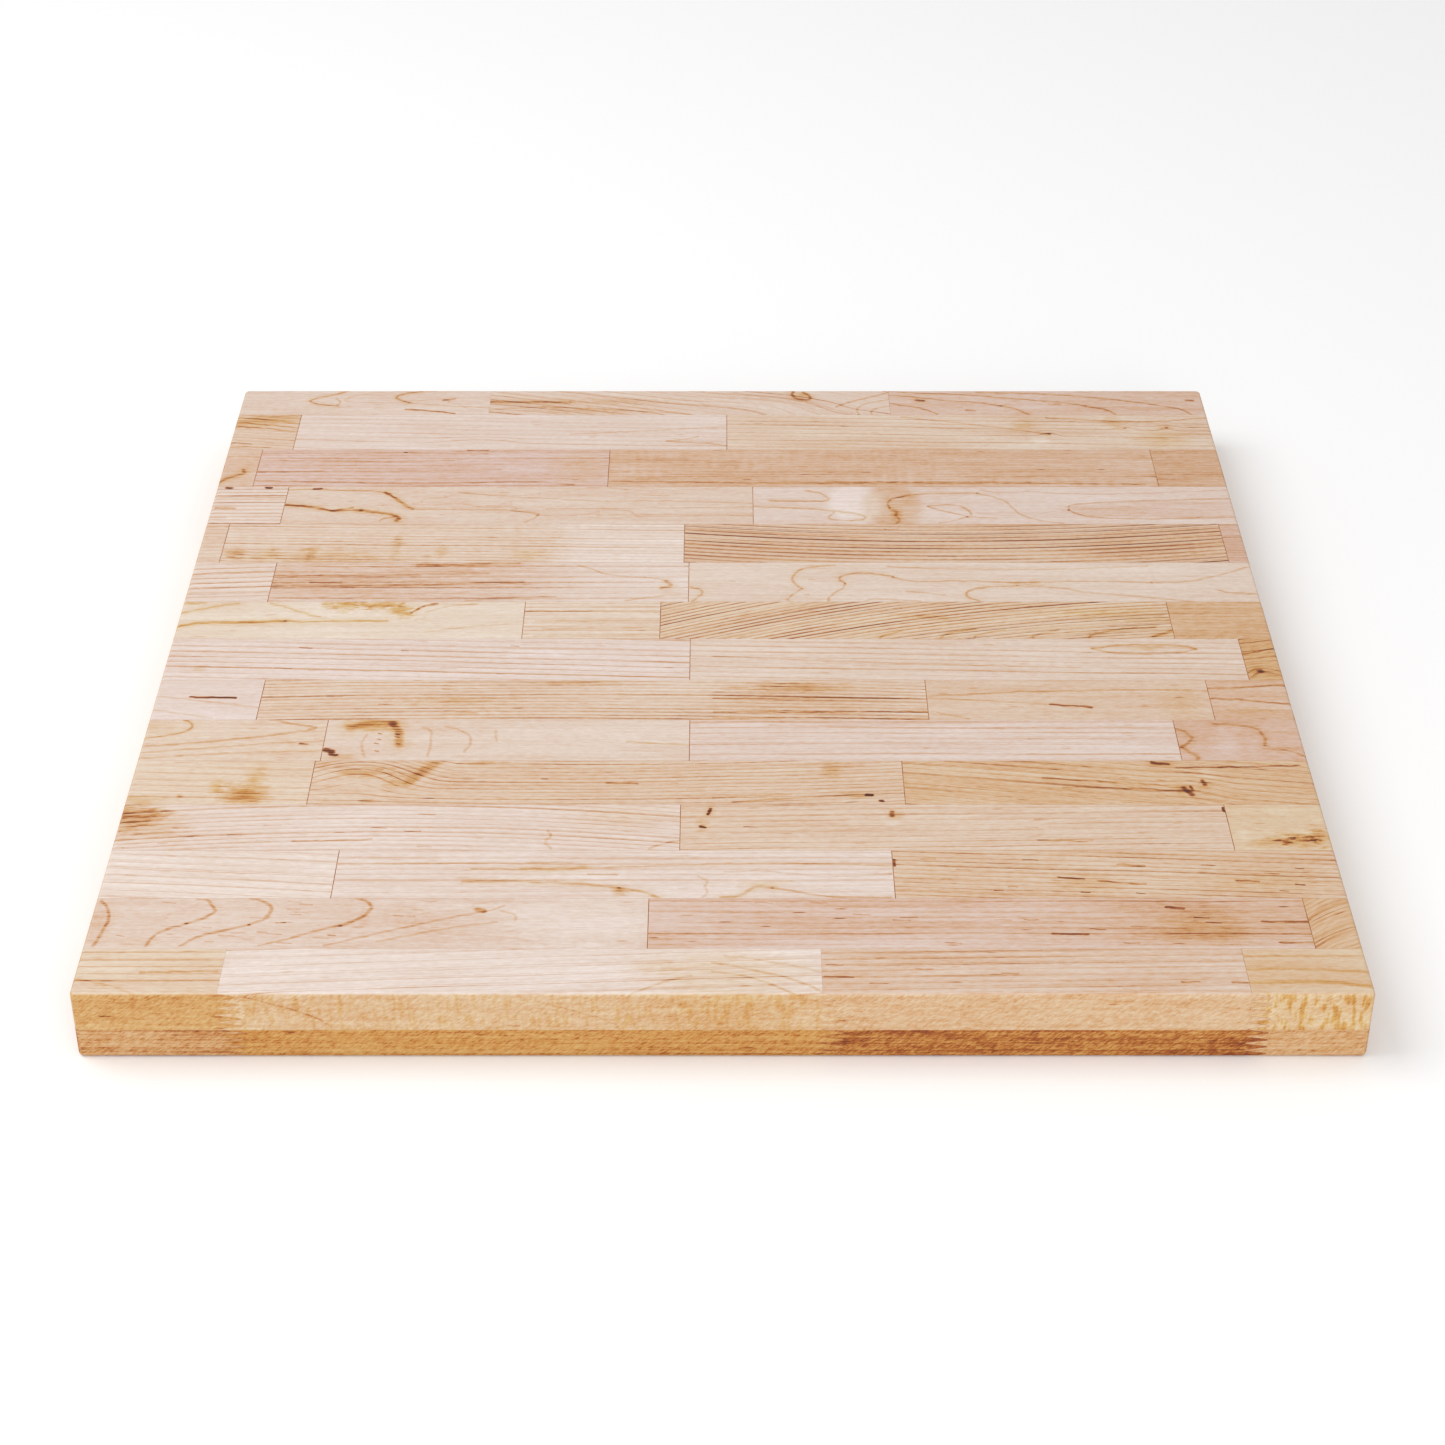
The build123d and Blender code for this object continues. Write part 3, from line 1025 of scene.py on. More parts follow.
# %% Strips 7 to 9
UPPER_BOARDS |= {
    "07_a": wood(
        CONTOURED, 0.25, -0.5,
        [
            streak(
                (0, 27), (6, 24.5), (12.5, 22.5), (42, 22), (60, 20.5), tone=0.30, straw=0.8, width=1.8,
                halo=0.14,
            ),
            streak(
                (60, 20.5), (71, 21.5), (90, 20.5), (117, 20.5), tone=0.26, straw=0.6, width=1.5,
                halo=0.08,
            ),
            streak((0, 12), (10, 9), (21, 4), (31, 2), tone=0.14, straw=0.6, halo=0.08),
            streak((50, 2), (60, 6), (67, 11), (79, 16.5), tone=0.14, straw=0.5, halo=0.05),
            stain(92, 3, 28, 16, 0.40, 1.2, torn=1.3), stain(110, 3, 32, 12, 0.40, 1.2, torn=1.1),
            stain(124, 9, 18, 20, 0.36, 1.2, turn=-40, torn=1.0), stain(4, 1, 26, 6, 0.3, 0.8),
            streak((130, 12), (135, 5), (144, 2), tone=0.5, straw=0.3, width=1.6),
            dashes((79, 16.5), long=8),
            streak((138, 11), (150, 5), (166, 2), tone=0.14, straw=0.2),
            streak((140, 32), (166, 26), (185, 24), tone=0.10, straw=0.1),
        ],
        line=0.1,
    ),
    "07_b": wood(
        FINE, 0.27, -0.3,
        [
            streak((194, 10), (270, 11), tone=0.22), streak((200, 20.6), (270, 20), tone=0.16),
            streak((205, 29), (270, 28), tone=0.18), streak((200, 36.5), (270, 36), tone=0.18),
        ],
        ring=3.8,
    ),
    "07_c": wood(
        SLANTED, 0.38, -0.8,
        [
            streak((391.7, 39), (394, 36), (404, 31), tone=0.16, straw=0.5, halo=0.05),
            streak((426, 38), (428, 35), (437, 31), (446, 29), tone=0.16, straw=0.5, halo=0.05),
            streak((444, 39), (446, 35), (462, 30), tone=0.16, straw=0.5),
            streak((477, 38), (477, 36), (492, 30), tone=0.16, straw=0.5),
            streak((508, 38), (510, 35), (526, 29), (546, 27), tone=0.16, straw=0.6, halo=0.08),
            streak((544, 37), (555, 31), tone=0.22, straw=0.6, width=2.0, halo=0.1),
            stain(420, 16, 50, 7, 0.16, 0.5, turn=8), stain(530, 14, 110, 20, 0.10, 0.5, turn=4),
            dashes((356, 10), (403, 7), (466, 9), (375, 20), long=5, tone=0.3),
        ],
        ring=3.2, line=0.54, width=1.2, lean=(0.42, 0.0), curve=-0.00062, wander=0.5, line_straw=0.3,
    ),
    "07_d": wood(FINE, 0.61, -1.0, line=0.16, fleck=0.1),
    "08_a": wood(
        STRAIGHT, 0.24, 0.6,
        [
            dashes((75, 9), (87, 8.5), (138, 2), long=7, tone=0.4),
            dashes((130, 12), (190, 7.5), long=4, tone=0.6),
            dashes((65, 30), (84, 32), (113, 33), (155, 30), long=9, tone=0.34),
            stain(20, 30, 10, 7, 0.2, 0.5),
        ],
        ring=5.0, line=0.34, lean=(-0.04, 0.0), wander=0.8,
    ),
    "08_b": wood(
        STRAIGHT, 0.31, 0.1,
        [
            streak(
                (509, 10), (519, 7), (540, 6), (560, 7), (566, 10.5), tone=0.2, straw=0.5, width=1.6,
                halo=0.04,
            ),
            streak(
                (566, 10.5), (558, 14), (535, 15.5), (517, 14), (509, 10), tone=0.18, straw=0.4,
                width=1.6,
            ),
            stain(540, 10, 44, 6, 0.10, 0.4),
            streak((300, 18), (340, 21), (400, 25), (500, 29), tone=0.14, straw=0.1),
            dashes((383, 27), long=14, tone=0.26),
        ],
        lean=(-0.03, 0.0), ring=5.0, line=0.27,
    ),
    "08_c": wood(
        STRAIGHT, 0.56, -0.8,
        knot(598, 33, 1.5, 6) + [streak((591, 16), (600, 13), (609, 10), tone=0.3, width=1.5)],
        straw=0.45, lean=(0.2, 0.0),
    ),
    "09_a": wood(
        CONTOURED, 0.28, 0.7,
        [
            streak((19, 17), (31, 17.2), (43, 17.7), tone=0.85, straw=0.0, width=1.7),
            streak((0, 15.6), (57, 27), tone=0.12), streak((0, 29), (33, 37), tone=0.12),
        ],
        line=0.08,
    ),
    "09_b": wood(
        STRAIGHT, 0.35, -0.2,
        [
            stain(160, 21, 80, 10, 0.18, 0.4), stain(168, 32, 24, 5, 0.2, 0.4),
            stain(225, 3, 60, 6, 0.14, 0.4),
            stain(345, 7, 80, 12, 0.20, 0.4), stain(350, 20, 140, 60, 0.10, 0.1, torn=0.3),
            streak((300, 31), (350, 31.5), (414, 31), tone=0.26), streak((300, 37), (414, 37.5), tone=0.24),
            streak((300, 18), (414, 18), tone=0.18),
            dashes((158, 9.5), (125, 24), (96, 16), long=8, tone=0.4),
        ],
        lean=(0.03, 0.0), curve=-0.0001, ring=3.1, line=0.40, width=1.1, curl=0.02,
    ),
    "09_c": wood(
        CONTOURED, 0.47, -0.3,
        [
            streak(
                (415, 15.5), (433, 14.5), (458, 12), (477, 11), (540, 9.5), (566, 11), tone=0.20,
                width=1.5,
            ),
            streak((415, 17.5), (462, 22), (478, 24), tone=0.14),
            streak((480, 24), (502, 26.5), tone=0.5, width=1.6),
            stain(550, 24, 34, 50, 0.07, 0.2, torn=0.2), streak((420, 32), (436, 38), tone=0.12),
        ],
        line=0.08,
    ),
    "09_d": wood(
        CONTOURED, 0.56, 0.2,
        [
            streak((567, 8), (581, 8), (609, 5), tone=0.24, width=1.6),
            streak((567, 18.5), (577, 18.7), (592, 21), (609, 24), tone=0.24, width=1.6),
            stain(590, 30, 40, 8, 0.08),
        ],
        line=0.14,
    ),
}

# %% Strips 10 to 12
UPPER_BOARDS |= {
    "10_a": wood(
        CONTOURED, 0.36, -0.3,
        [
            streak(
                (19, 0), (22, 1.5), (24.5, 5), (23, 9), (17, 13), (10, 15.5), (0, 17.5), tone=0.26,
                halo=0.06,
            ),
            stain(6, 7, 36, 16, 0.12, 0.2, torn=0.3),
            streak(
                (65, 0), (83, 5), (91.5, 8), (83, 11), (62.5, 15), (42, 19.5), (0, 25.5), tone=0.24,
                width=1.6,
            ),
            streak((0, 31), (42, 25.5), (71, 21.5), (95, 20), tone=0.16),
            streak((0, 36), (50, 31), (95, 29), tone=0.14),
            dashes((85, 22.5), long=4, tone=0.7, width=1.6),
        ],
        line=0.16,
    ),
    "10_b": wood(
        CONTOURED, 0.34, 0.1,
        [
            stain(117, 6, 34, 12, 0.22, 0.9, turn=14, torn=0.8),
            stain(106, 35, 24, 10, 0.22, 0.4, torn=0.6),
            streak(
                (108, 7.5), (116, 3.5), (123, 1.5), (130, 3), tone=0.24, straw=0.6, width=5.0,
                halo=0.10,
            ),
            streak(
                (130, 3), (133.5, 9), (134.5, 17), (135.5, 24), tone=0.26, straw=0.6, width=3.6,
                halo=0.10,
            ),
            streak((97, 28.5), (101, 29.5), tone=0.9, straw=0.0, width=3.0),
            streak((100, 32), (103, 33), tone=0.75, straw=0.0, width=2.2),
            dashes((133, 13), (133.5, 16), (135, 22), (124, 13), (124, 18), (123, 22), (124, 29),
                   long=1.4, tone=0.6, width=1.2),
            streak((146, 7), (150, 9), (152, 15), (151, 34), tone=0.16, straw=0.1),
            streak((158, 6), (167, 10), (172, 15), (173, 21.5), (170, 30), tone=0.16, straw=0.1),
            streak((185, 10), (186, 20), tone=0.12),
            streak((117, 14), (115, 24), (118, 34), tone=0.14, straw=0.1),
            streak((255, 21), (287, 23.5), tone=0.2, straw=0.5),
        ],
        line=0.06, fleck=0.1,
    ),
    "10_c": wood(
        STRAIGHT, 0.30, 0.6,
        [
            streak((330, 5), (420, 8), (544, 8.5), tone=0.16, straw=0.0),
            dashes((385, 14), (470, 18), (520, 13), (524, 31), long=9, tone=0.26),
        ],
        ring=4.8, line=0.26,
    ),
    "10_d": wood(
        CONTOURED, 0.56, 0.9,
        [
            streak(
                (544, 8.5), (548, 10), (551, 14), (552, 17.5), (548, 23.5), (545, 25.5), tone=0.12,
                width=1.7, halo=0.06,
            ),
            streak((545, 25.5), (550, 31), (553, 34), (552, 38), tone=0.12, width=1.7, halo=0.06),
            streak(
                (565, 4), (579, 5), (587.5, 8), (589, 13), (590.5, 18), (589, 23.5), tone=0.10,
                width=1.6, halo=0.05,
            ),
            streak((589, 23.5), (593, 25.5), (602, 30), (609, 34), tone=0.10),
            stain(598, 28, 22, 7, 0.14, 0.3),
            stain(570, 20, 18, 40, -0.12, 0.0, torn=0.3),
        ],
        line=0.08, fleck=0.1,
    ),
    "11_a": wood(
        SLANTED, 0.33, -0.6,
        [
            stain(60, 31, 32, 26, 0.42, 1.0, torn=0.5), stain(64, 15, 14, 34, 0.12, 0.6, turn=10, torn=0.6),
            stain(45, 23, 10, 16, 0.14, 0.7), stain(8, 36, 30, 14, 0.12, 0.5),
            stain(27, 32, 4, 6, 0.24, 0.5),
            dashes((26, 1.5), long=12, tone=0.3),
        ],
        line=0.24, lean=(-0.03, 0.0), ring=5.0, wander=1.8,
    ),
    "11_b": wood(
        FINE, 0.42, -0.4,
        [
            swell(118, 6, 50, 30, 16),
            stain(120, 11, 40, 13, 0.18, 0.55, torn=1.2), stain(135, 19, 14, 16, 0.18, 0.5),
            streak((157, 0), (150, 9), (143, 20), tone=0.14, straw=0.5, width=5.0, halo=0.06),
            streak((165, 2), (158, 9), (150, 20), tone=-0.14, straw=-0.1, width=4.0),
            stain(178, 2, 24, 6, 0.18, 0.5), stain(122, 36, 10, 4, 0.3, 0.4),
            stain(361, 8, 14, 24, 0.14, 0.5),
            stain(372, 31, 26, 8, 0.2, 0.5, torn=0.6), streak((379, 30.5), (381, 31), tone=1.1, width=2.2),
            streak((385.5, 36), (386.5, 36), tone=1.0, width=1.6),
            streak((245, 20.5), (261, 21), tone=0.32),
            dashes((213, 16), (280, 20), (116, 8), (127, 8), long=3),
            streak((310, 37), (345, 33), (380, 31), tone=0.2), streak((300, 33), (340, 30), tone=0.14),
        ],
        ring=3.0, wander=1.0, line=0.36, line_straw=0.15, lean=(-0.05, 0.0), curve=0.0002,
    ),
    "11_c": wood(
        FINE, 0.52, -1.0,
        [
            stain(541, 26, 20, 14, 0.14, 0.4), stain(553, 21, 10, 14, 0.14, 0.4),
            streak((542, 25), (544, 28), (545, 30), tone=0.48, straw=0.0, width=2.8),
            streak((545.5, 24), (546, 26), tone=0.5, width=1.6),
            streak((552, 18), (553, 22), tone=0.45, width=2.0),
            stain(556, 11, 12, 14, -0.16, 0.0, torn=0.3),
            streak((528, 2), (536, 3), tone=0.5, width=2.0, halo=0.12),
            streak((540, 6.4), (570, 5.8), (604, 4.5), tone=0.40, straw=0.0, width=1.1),
            dashes((577, 12), (503, 8), (448, 32), (407, 35), (430, 37), long=8, tone=0.22),
            streak((480, 24), (520, 25), (543, 28), tone=0.2),
            streak((470, 16), (520, 20), (542, 25), tone=0.2),
            swell(546, 25, 24, 20, 4),
        ],
        ring=4.4, wander=0.8, line=0.34, line_straw=0.15, width=1.3, straw=0.08, lean=(-0.14, 0.0),
    ),
    # Part of 12_a's pale tone is painted sheen: the whitish glare of the light from the left, painted into
    # its colour.
    "12_a": wood(
        STRAIGHT, 0.21, 0.4,
        [
            stain(3, 8, 46, 34, 0.44, 0.7, torn=0.5), stain(16, 20, 50, 34, 0.22, 0.25, torn=0.5),
            stain(22, 8, 22, 10, 0.14, 0.2), stain(3, 30, 20, 14, 0.12, 0.1),
            dashes((155, 8), (149, 23), (78, 18), (32, 20), (132, 20), long=8, tone=0.44),
            streak((90, 31.7), (108, 31.2), (129, 30), tone=0.34, straw=0.1),
            dashes((75, 31), (36, 27), (60, 26), (156, 36), long=7, tone=0.34),
            dashes((25, 33), (4, 37), long=4),
            streak((217, 23), (219, 27), (215.5, 31), (219, 38), tone=0.14),
            streak((284, 31), (276, 33), (268, 38), tone=0.2), stain(255, 10, 80, 30, 0.10, 0.2, torn=0.4),
        ],
        ring=3.6, line=0.32, lean=(0.11, 0.0), curve=-0.00042, wander=0.5,
    ),
    "12_b": wood(
        FINE, 0.39, -0.3,
        [
            streak((298.5, 4), (297, 8.5), tone=0.8, width=1.6, halo=0.12),
            stain(295, 18, 10, 12, 0.14, 0.6),
            streak((294, 19), (296, 20), tone=0.8, width=1.6), stain(392, 9, 12, 10, 0.16, 0.5),
            streak((391, 6), (391, 10), tone=0.5, width=2.2), stain(391, 16, 10, 6, -0.16, 0.0),
            dashes((460, 19.5), (319, 19), (466, 13), long=7, tone=0.34),
            streak((463, 31), (490, 31.4), tone=0.24),
            streak((559.2, 2.5), (559.4, 6), tone=0.9, straw=0.0, width=1.4),
        ],
        ring=4.4, line=0.32, lean=(0.02, 0.0),
    ),
    "12_c": wood(
        CONTOURED, 0.44, -1.0,
        [
            stain(594, 30, 32, 16, 0.20, 0.9, torn=1.0), stain(604, 26, 12, 20, 0.30, 0.5, torn=1.2),
            stain(588, 31, 9, 9, 0.34, 0.2, torn=2.2), stain(596, 30, 12, 7, 0.5, 0.0, torn=2.4),
            stain(577, 33, 24, 9, 0.14, 0.3), stain(566, 27, 10, 16, -0.10, -0.1, torn=0.4),
        ],
        line=0.08, straw=0.15,
    ),
}

# %% Strips 13 to 15
UPPER_BOARDS |= {
    # Part of 13_a's pale tone is painted sheen: the whitish glare of the light from the left, painted into
    # its colour.
    "13_a": wood(STRAIGHT, 0.16, 0.2, ring=5.6, line=0.24, lean=(-0.07, 0.0), wander=1.0),
    "13_b": wood(
        STRAIGHT, 0.22, 0.4,
        [
            streak((114, 11.5), (160, 11), (230, 10), tone=0.16, straw=0.2),
            streak(
                (181, 15.5), (208, 15.5), (229, 14.5), (260, 13.5), (323, 10.5), (389, 12.5), tone=0.14,
                halo=0.03,
            ),
            streak((206, 16), (222, 15.6), (236, 14.4), tone=0.10, width=2.6, halo=0.06),
            streak(
                (177, 25.5), (200, 25.5), (225, 26.5), (240, 28), (254, 31), tone=0.20, width=1.8,
                halo=0.06,
            ),
            streak((254, 31), (265, 33.5), (271, 37), (274, 39), tone=0.2, straw=0.4, width=1.6, halo=0.06),
            stain(254, 34, 10, 10, 0.24, 0.4), streak((238.5, 19.5), (253, 20), tone=0.36, width=1.1),
            streak((293, 22), (298, 25), (296, 30), (298, 35), (295, 39), tone=0.16),
            streak(
                (304, 39), (314.6, 37), (319, 31), (323, 29.5), (329, 30.5), tone=0.22, width=1.7,
                halo=0.08,
            ),
            streak((329, 30.5), (337.5, 33), (350, 36.5), (362, 38.5), (387, 39), tone=0.24, width=1.5),
            stain(326, 27, 30, 8, 0.12, 0.3),
            streak(
                (306, 17.7), (325, 16.7), (337.5, 19), (354, 22), (371, 21), (387.5, 19.5), tone=0.16,
                straw=0.1,
            ),
            stain(330, 28, 150, 30, -0.04, 0.0, torn=0.4),
        ],
        ring=4.4, line=0.20,
    ),
    "13_c": wood(
        FINE, 0.45, -0.6,
        [
            stain(484, 28, 44, 26, 0.10, 0.3, torn=0.4), stain(572, 26, 90, 30, 0.08, 0.3, torn=0.4),
            dashes((407, 7), (424, 16), (457, 8), (545, 12), (575, 19), long=7, tone=0.34),
            streak((500, 12), (513, 12.8), tone=0.36), streak((470, 22), (482, 24), tone=0.36),
            streak((489, 25), (512, 28), tone=0.32), streak((557, 25), (568, 26), tone=0.34),
            dashes(
                (482, 34), (440, 33), (509, 35), (579, 33), (588, 28), (447, 30), (590, 15), long=4,
                tone=0.6,
            ),
            streak((389.6, 8), (389.6, 12.5), tone=0.7, straw=0.0, width=1.6),
        ],
        ring=3.4, line=0.40, lean=(-0.05, 0.0),
    ),
    "14_a": wood(
        CONTOURED, 0.37, 0.3,
        [
            stain(2, 20, 24, 44, 0.14, 0.1, torn=0.2), stain(25, 34, 60, 10, 0.08, 0.1, torn=0.4),
            streak((3, 2), (7, 6.5), (9, 15), (8, 25), (5, 37), tone=0.28, straw=0.1, width=1.6),
            streak(
                (49, 0), (55, 1.5), (58, 6.5), (59.5, 10.5), (55, 16), (47, 20), tone=0.30, straw=0.2,
                width=1.6,
            ),
            streak((47, 20), (36.5, 25), (32, 30.5), (30, 37), tone=0.28, straw=0.2, width=1.6),
            streak(
                (75, 0), (82, 2.5), (86, 6.5), (86.5, 11.5), (84, 16.5), (77, 21), tone=0.30, straw=0.2,
                width=1.6,
            ),
            streak((77, 21), (64.5, 25.5), (55, 29.5), (46, 37), tone=0.26, straw=0.2, width=1.6),
            streak(
                (127, 0), (132, 2), (135, 7), (133, 12), (129, 17), (121, 21), tone=0.30, straw=0.25,
                width=1.8,
            ),
            streak((121, 21), (110.5, 25), (100, 30.5), (84, 37), tone=0.22, straw=0.2, width=1.4),
            streak(
                (199, 5.5), (195, 9), (185, 11.5), (171, 16), (158, 21), (137, 28.5), (115, 37),
                tone=0.2, straw=0.1,
            ),
            streak((198, 10), (205, 13), (205, 17), tone=0.12),
            streak((196, 19), (173, 23), (140, 34), tone=0.14),
            streak((186, 9), (189, 10), tone=0.5, straw=0.5, width=2.8),
            dashes((97, 2.5), (103, 4.5), (97, 8.5), (101, 11), (98, 13), (153, 7), (157, 9), (153, 14),
                   long=6, tone=0.3),
            dashes(
                (148, 13.5), (57, 23), (84, 26.5), (60, 34), (17, 29), (92, 19), (118, 29), long=4,
                tone=0.5,
            ),
            dashes(
                (73, 27), (67, 29), (113, 31), (96, 35), (90, 28), (36, 3), (80, 15), (162, 2), long=7,
                tone=0.34,
            ),
            # This pale patch at the right end of 14_a is painted sheen, the glare of the light from the
            # left, not a stain.
            stain(238, 18, 96, 60, -0.16, 0.0, torn=0.3, rim=0.4),
        ],
        line=0.12, lean=(0.0, 0.03), curl=0.03, fleck=0.3,
    ),
    "14_b": wood(
        FINE, 0.47, 0.8,
        [
            dashes(
                (372, 12.5), (395, 15), (391, 17), (440, 17), (415, 35), (325, 3.5), (352, 3.5), long=8,
                tone=0.36,
            ),
            streak((463, 28), (480, 28.3), tone=0.4), streak((520, 7), (528, 8), tone=0.46, width=1.6),
            dashes(
                (485, 24), (541, 19), (505, 22), (454, 17), (500, 35), (548, 36), (536, 15), long=7,
                tone=0.36,
            ),
            streak((565, 18.5), (587, 18.8), tone=0.36),
            streak((571, 34.5), (587, 34.8), tone=0.4, width=1.4),
            stain(535, 24, 60, 34, 0.14, 0.4, torn=0.5), stain(590, 18, 420, 60, 0.10, 0.2, torn=0.2),
        ],
        ring=4.0, line=0.26, fleck=0.44, cloud=0.08,
    ),
    "14_c": wood(SLANTED, 0.55, -1.0, line=0.3, straw=0.1, lean=(0.9, 0.0), curve=-0.012, ring=3.0),
    # In strip 15 the edge values set how much darker and more amber the front is painted than the top:
    # painted sheen, the top kept paler for the glare it reflects.
    "15_a": wood(
        STRAIGHT, 0.34, -0.6,
        [streak((31, 18), (67, 17), tone=0.2), streak((0, 23), (17, 27), (30, 34), tone=0.12)],
        ring=5.0, line=0.26, straw=0.06, wander=0.4, edge=0.27, edge_straw=0.75,
    ),
    # Part of 15_b's pale tone is painted sheen: the whitish glare of the light from the left, painted into
    # its colour.
    "15_b": wood(
        STRAIGHT, 0.16, 0.3,
        [
            stain(306, 20, 100, 50, 0.12, 0.25, torn=0.3, rim=0.3), stain(275, 12, 40, 18, 0.08, 0.1),
            streak((300, 11), (323, 17), (342, 25), (352, 33), tone=0.18, straw=0.3),
            streak((300, 17), (317, 21), (329, 27.5), (338, 34), tone=0.18, straw=0.3),
            streak((306, 5), (330, 10), (352, 18), tone=0.12, straw=0.2),
            streak((262, 34), (275, 26), (290, 20), tone=0.12, straw=0.2),
        ],
        ring=6.2, line=0.28, lean=(0.05, 0.0), wander=0.5, edge=0.29, edge_straw=0.55, edge_curl=0.08,
    ),
    "15_c": wood(
        STRAIGHT, 0.43, 0.0,
        [
            dashes((400, 15.3), (440, 18.5), (378, 26), (358, 12), long=8, tone=0.3),
            streak((353, 21), (366, 21.4), tone=0.3), streak((520, 25), (528, 25.2), tone=0.3),
            streak((544, 25), (551, 25.3), tone=0.4, straw=0.0),
        ],
        ring=4.4, line=0.30, lean=(0.02, 0.0), wander=0.4, edge=0.11, edge_straw=0.45,
    ),
    "15_d": wood(
        CONTOURED, 0.49, -1.0,
        [
            streak((552, 16), (581, 15.5), (610, 17.7), tone=0.10, straw=0.5, width=1.6),
            streak((552, 25.5), (581, 24.5), (596, 26), (610, 29), tone=0.14, straw=0.7, width=2.2),
            streak((552, 6), (581, 5), (610, 6), tone=0.12, straw=0.2),
        ],
        line=0.1, straw=0.12, edge=-0.06, edge_straw=0.3, edge_curl=0.26,
    ),
}
print(len(UPPER_BOARDS), "upper boards described")

# %% [markdown]
# ## The boards underneath
#
# The lower plies show only on the front and back edges, at the ends and underneath. They came from
# the darker part of the stack: the front ones are golden to red-brown heartwood, set one by one, and
# the rest are dealt out from the same figures by a seeded shuffle, so they never change.

# %% Lower boards
FLAT_SAWN = dict(heart=(20, -120), edge=0.0, edge_straw=0.0, wander=0.5)
LOWER_BOARDS = {
    "15_a": wood(STRAIGHT, 0.62, -0.3, straw=0.55, ring=2.4, width=1.0, line=0.9, fleck=0.2, **FLAT_SAWN),
    "15_b": wood(STRAIGHT, 0.68, -0.3, straw=1.0, ring=3.0, width=1.0, line=0.5, cloud=0.05, **FLAT_SAWN),
    "15_c": wood(STRAIGHT, 0.82, 0.0, straw=1.0, ring=3.4, width=1.2, line=1.6, cloud=0.05, **FLAT_SAWN),
    "15_d": wood(STRAIGHT, 0.58, -0.3, straw=0.5, ring=3.4, line=0.5, fleck=0.2, **FLAT_SAWN),
}
dealer = random.Random(15)
for key in UPPER_BOARDS:
    figure = dealer.choice((STRAIGHT, STRAIGHT, FINE, ARCHED, CONTOURED, SLANTED))
    tone = dealer.uniform(0.38, 0.62)
    straw = dealer.uniform(0.0, 0.3)
    LOWER_BOARDS.setdefault(key, wood(figure, tone, straw=straw))
print(len(LOWER_BOARDS), "lower boards described")

# %% [markdown]
# ## One material for each board
#
# The same groups are placed in every board's material, with that board's values. Everything that
# darkens the wood is added to its tone, everything that yellows it to its straw, and the two become
# a colour. The shader itself stays in the material, with its plain numbers on its own sockets.

# %% Build the wood
END_TONE = 0.12
END_STRAW = 0.40
SCRATCH_TONE = 0.13
WOBBLE = 2.4
FAR_AWAY = 1000.0
HALO_STRAW = 3.0
CURL_STRAW = 4.0


def frame_of(entry, at):
    """The centre, half size and turn of one patch or swell, in the board's own millimetres."""
    long, wide = entry["size"]
    centre = at(entry["at"])
    return {"Centre": centre, "Size": (long / 2, wide / 2, max(wide, 6.0)), "Turn": radians(entry["turn"])}


def years_at(w, look, space, swells, at):
    """The year grown at one point, with every swell of the board."""
    push = 0.0
    for entry in swells:
        height = w.place(swelling, Place=space["Place"], **frame_of(entry, at))["Height"]
        push = w.math("MULTIPLY_ADD", height, entry["push"], push)
    return w.place(
        year_grown, Along_Grain=space["Along Grain"], Scattered=space["Scattered"],
        Heart=(0.0, *look["heart"]), Ring_Width=look["ring"], Wander=look["wander"],
        Wave_Length=look["wave"], Push=push,
    )["Years"]


def streak_masks(w, entry, point, space, rim, at):
    """The line and the halo of one streak."""
    distance = FAR_AWAY
    for start, end in entry["stretches"]:
        peg, other = Vector(at(start)), Vector(at(end))
        run = other - peg
        piece = w.place(stretch, Point=point, Peg=peg, Run=run, Per_Run=run / run.length_squared)
        distance = w.math("MINIMUM", distance, piece["Distance"])
    return w.place(
        streak_line, Distance=distance, Width=entry["width"], Place=space["Place"], Tight=rim["Tight"]
    )


def mark_parts(w, look, space, surface, at):
    """(mask, added tone, added straw) for every stain, knot and streak of a board."""
    parts = []
    marks = [entry for entry in look["marks"] if entry["kind"] != "swell"]
    if not marks:
        return parts
    rim = w.place(stain_rim, Scattered=space["Scattered"])
    wobble = w.vector("MULTIPLY", rim["Wobble"], (WOBBLE, WOBBLE, 0.0))
    x, y, z = w.split(w.vector("ADD", space["Place"], wobble))
    point = w.join(x, y, 0.0)
    for entry in marks:
        if entry["kind"] == "patch":
            spot = w.place(
                patch, Place=space["Place"], Ragged=rim["Ragged"], Tight=rim["Tight"],
                Torn=entry["torn"], Rim=entry["rim"], **frame_of(entry, at),
            )
            parts.append((spot["Mask"], entry["tone"], entry["straw"]))
        else:
            masks = streak_masks(w, entry, point, space, rim, at)
            line = w.math("MULTIPLY", masks["Line"], surface["Ring Strength"])
            parts.append((line, entry["tone"], entry["straw"]))
            if entry["halo"]:
                parts.append((masks["Halo"], entry["halo"], entry["halo"] * HALO_STRAW))
    return parts


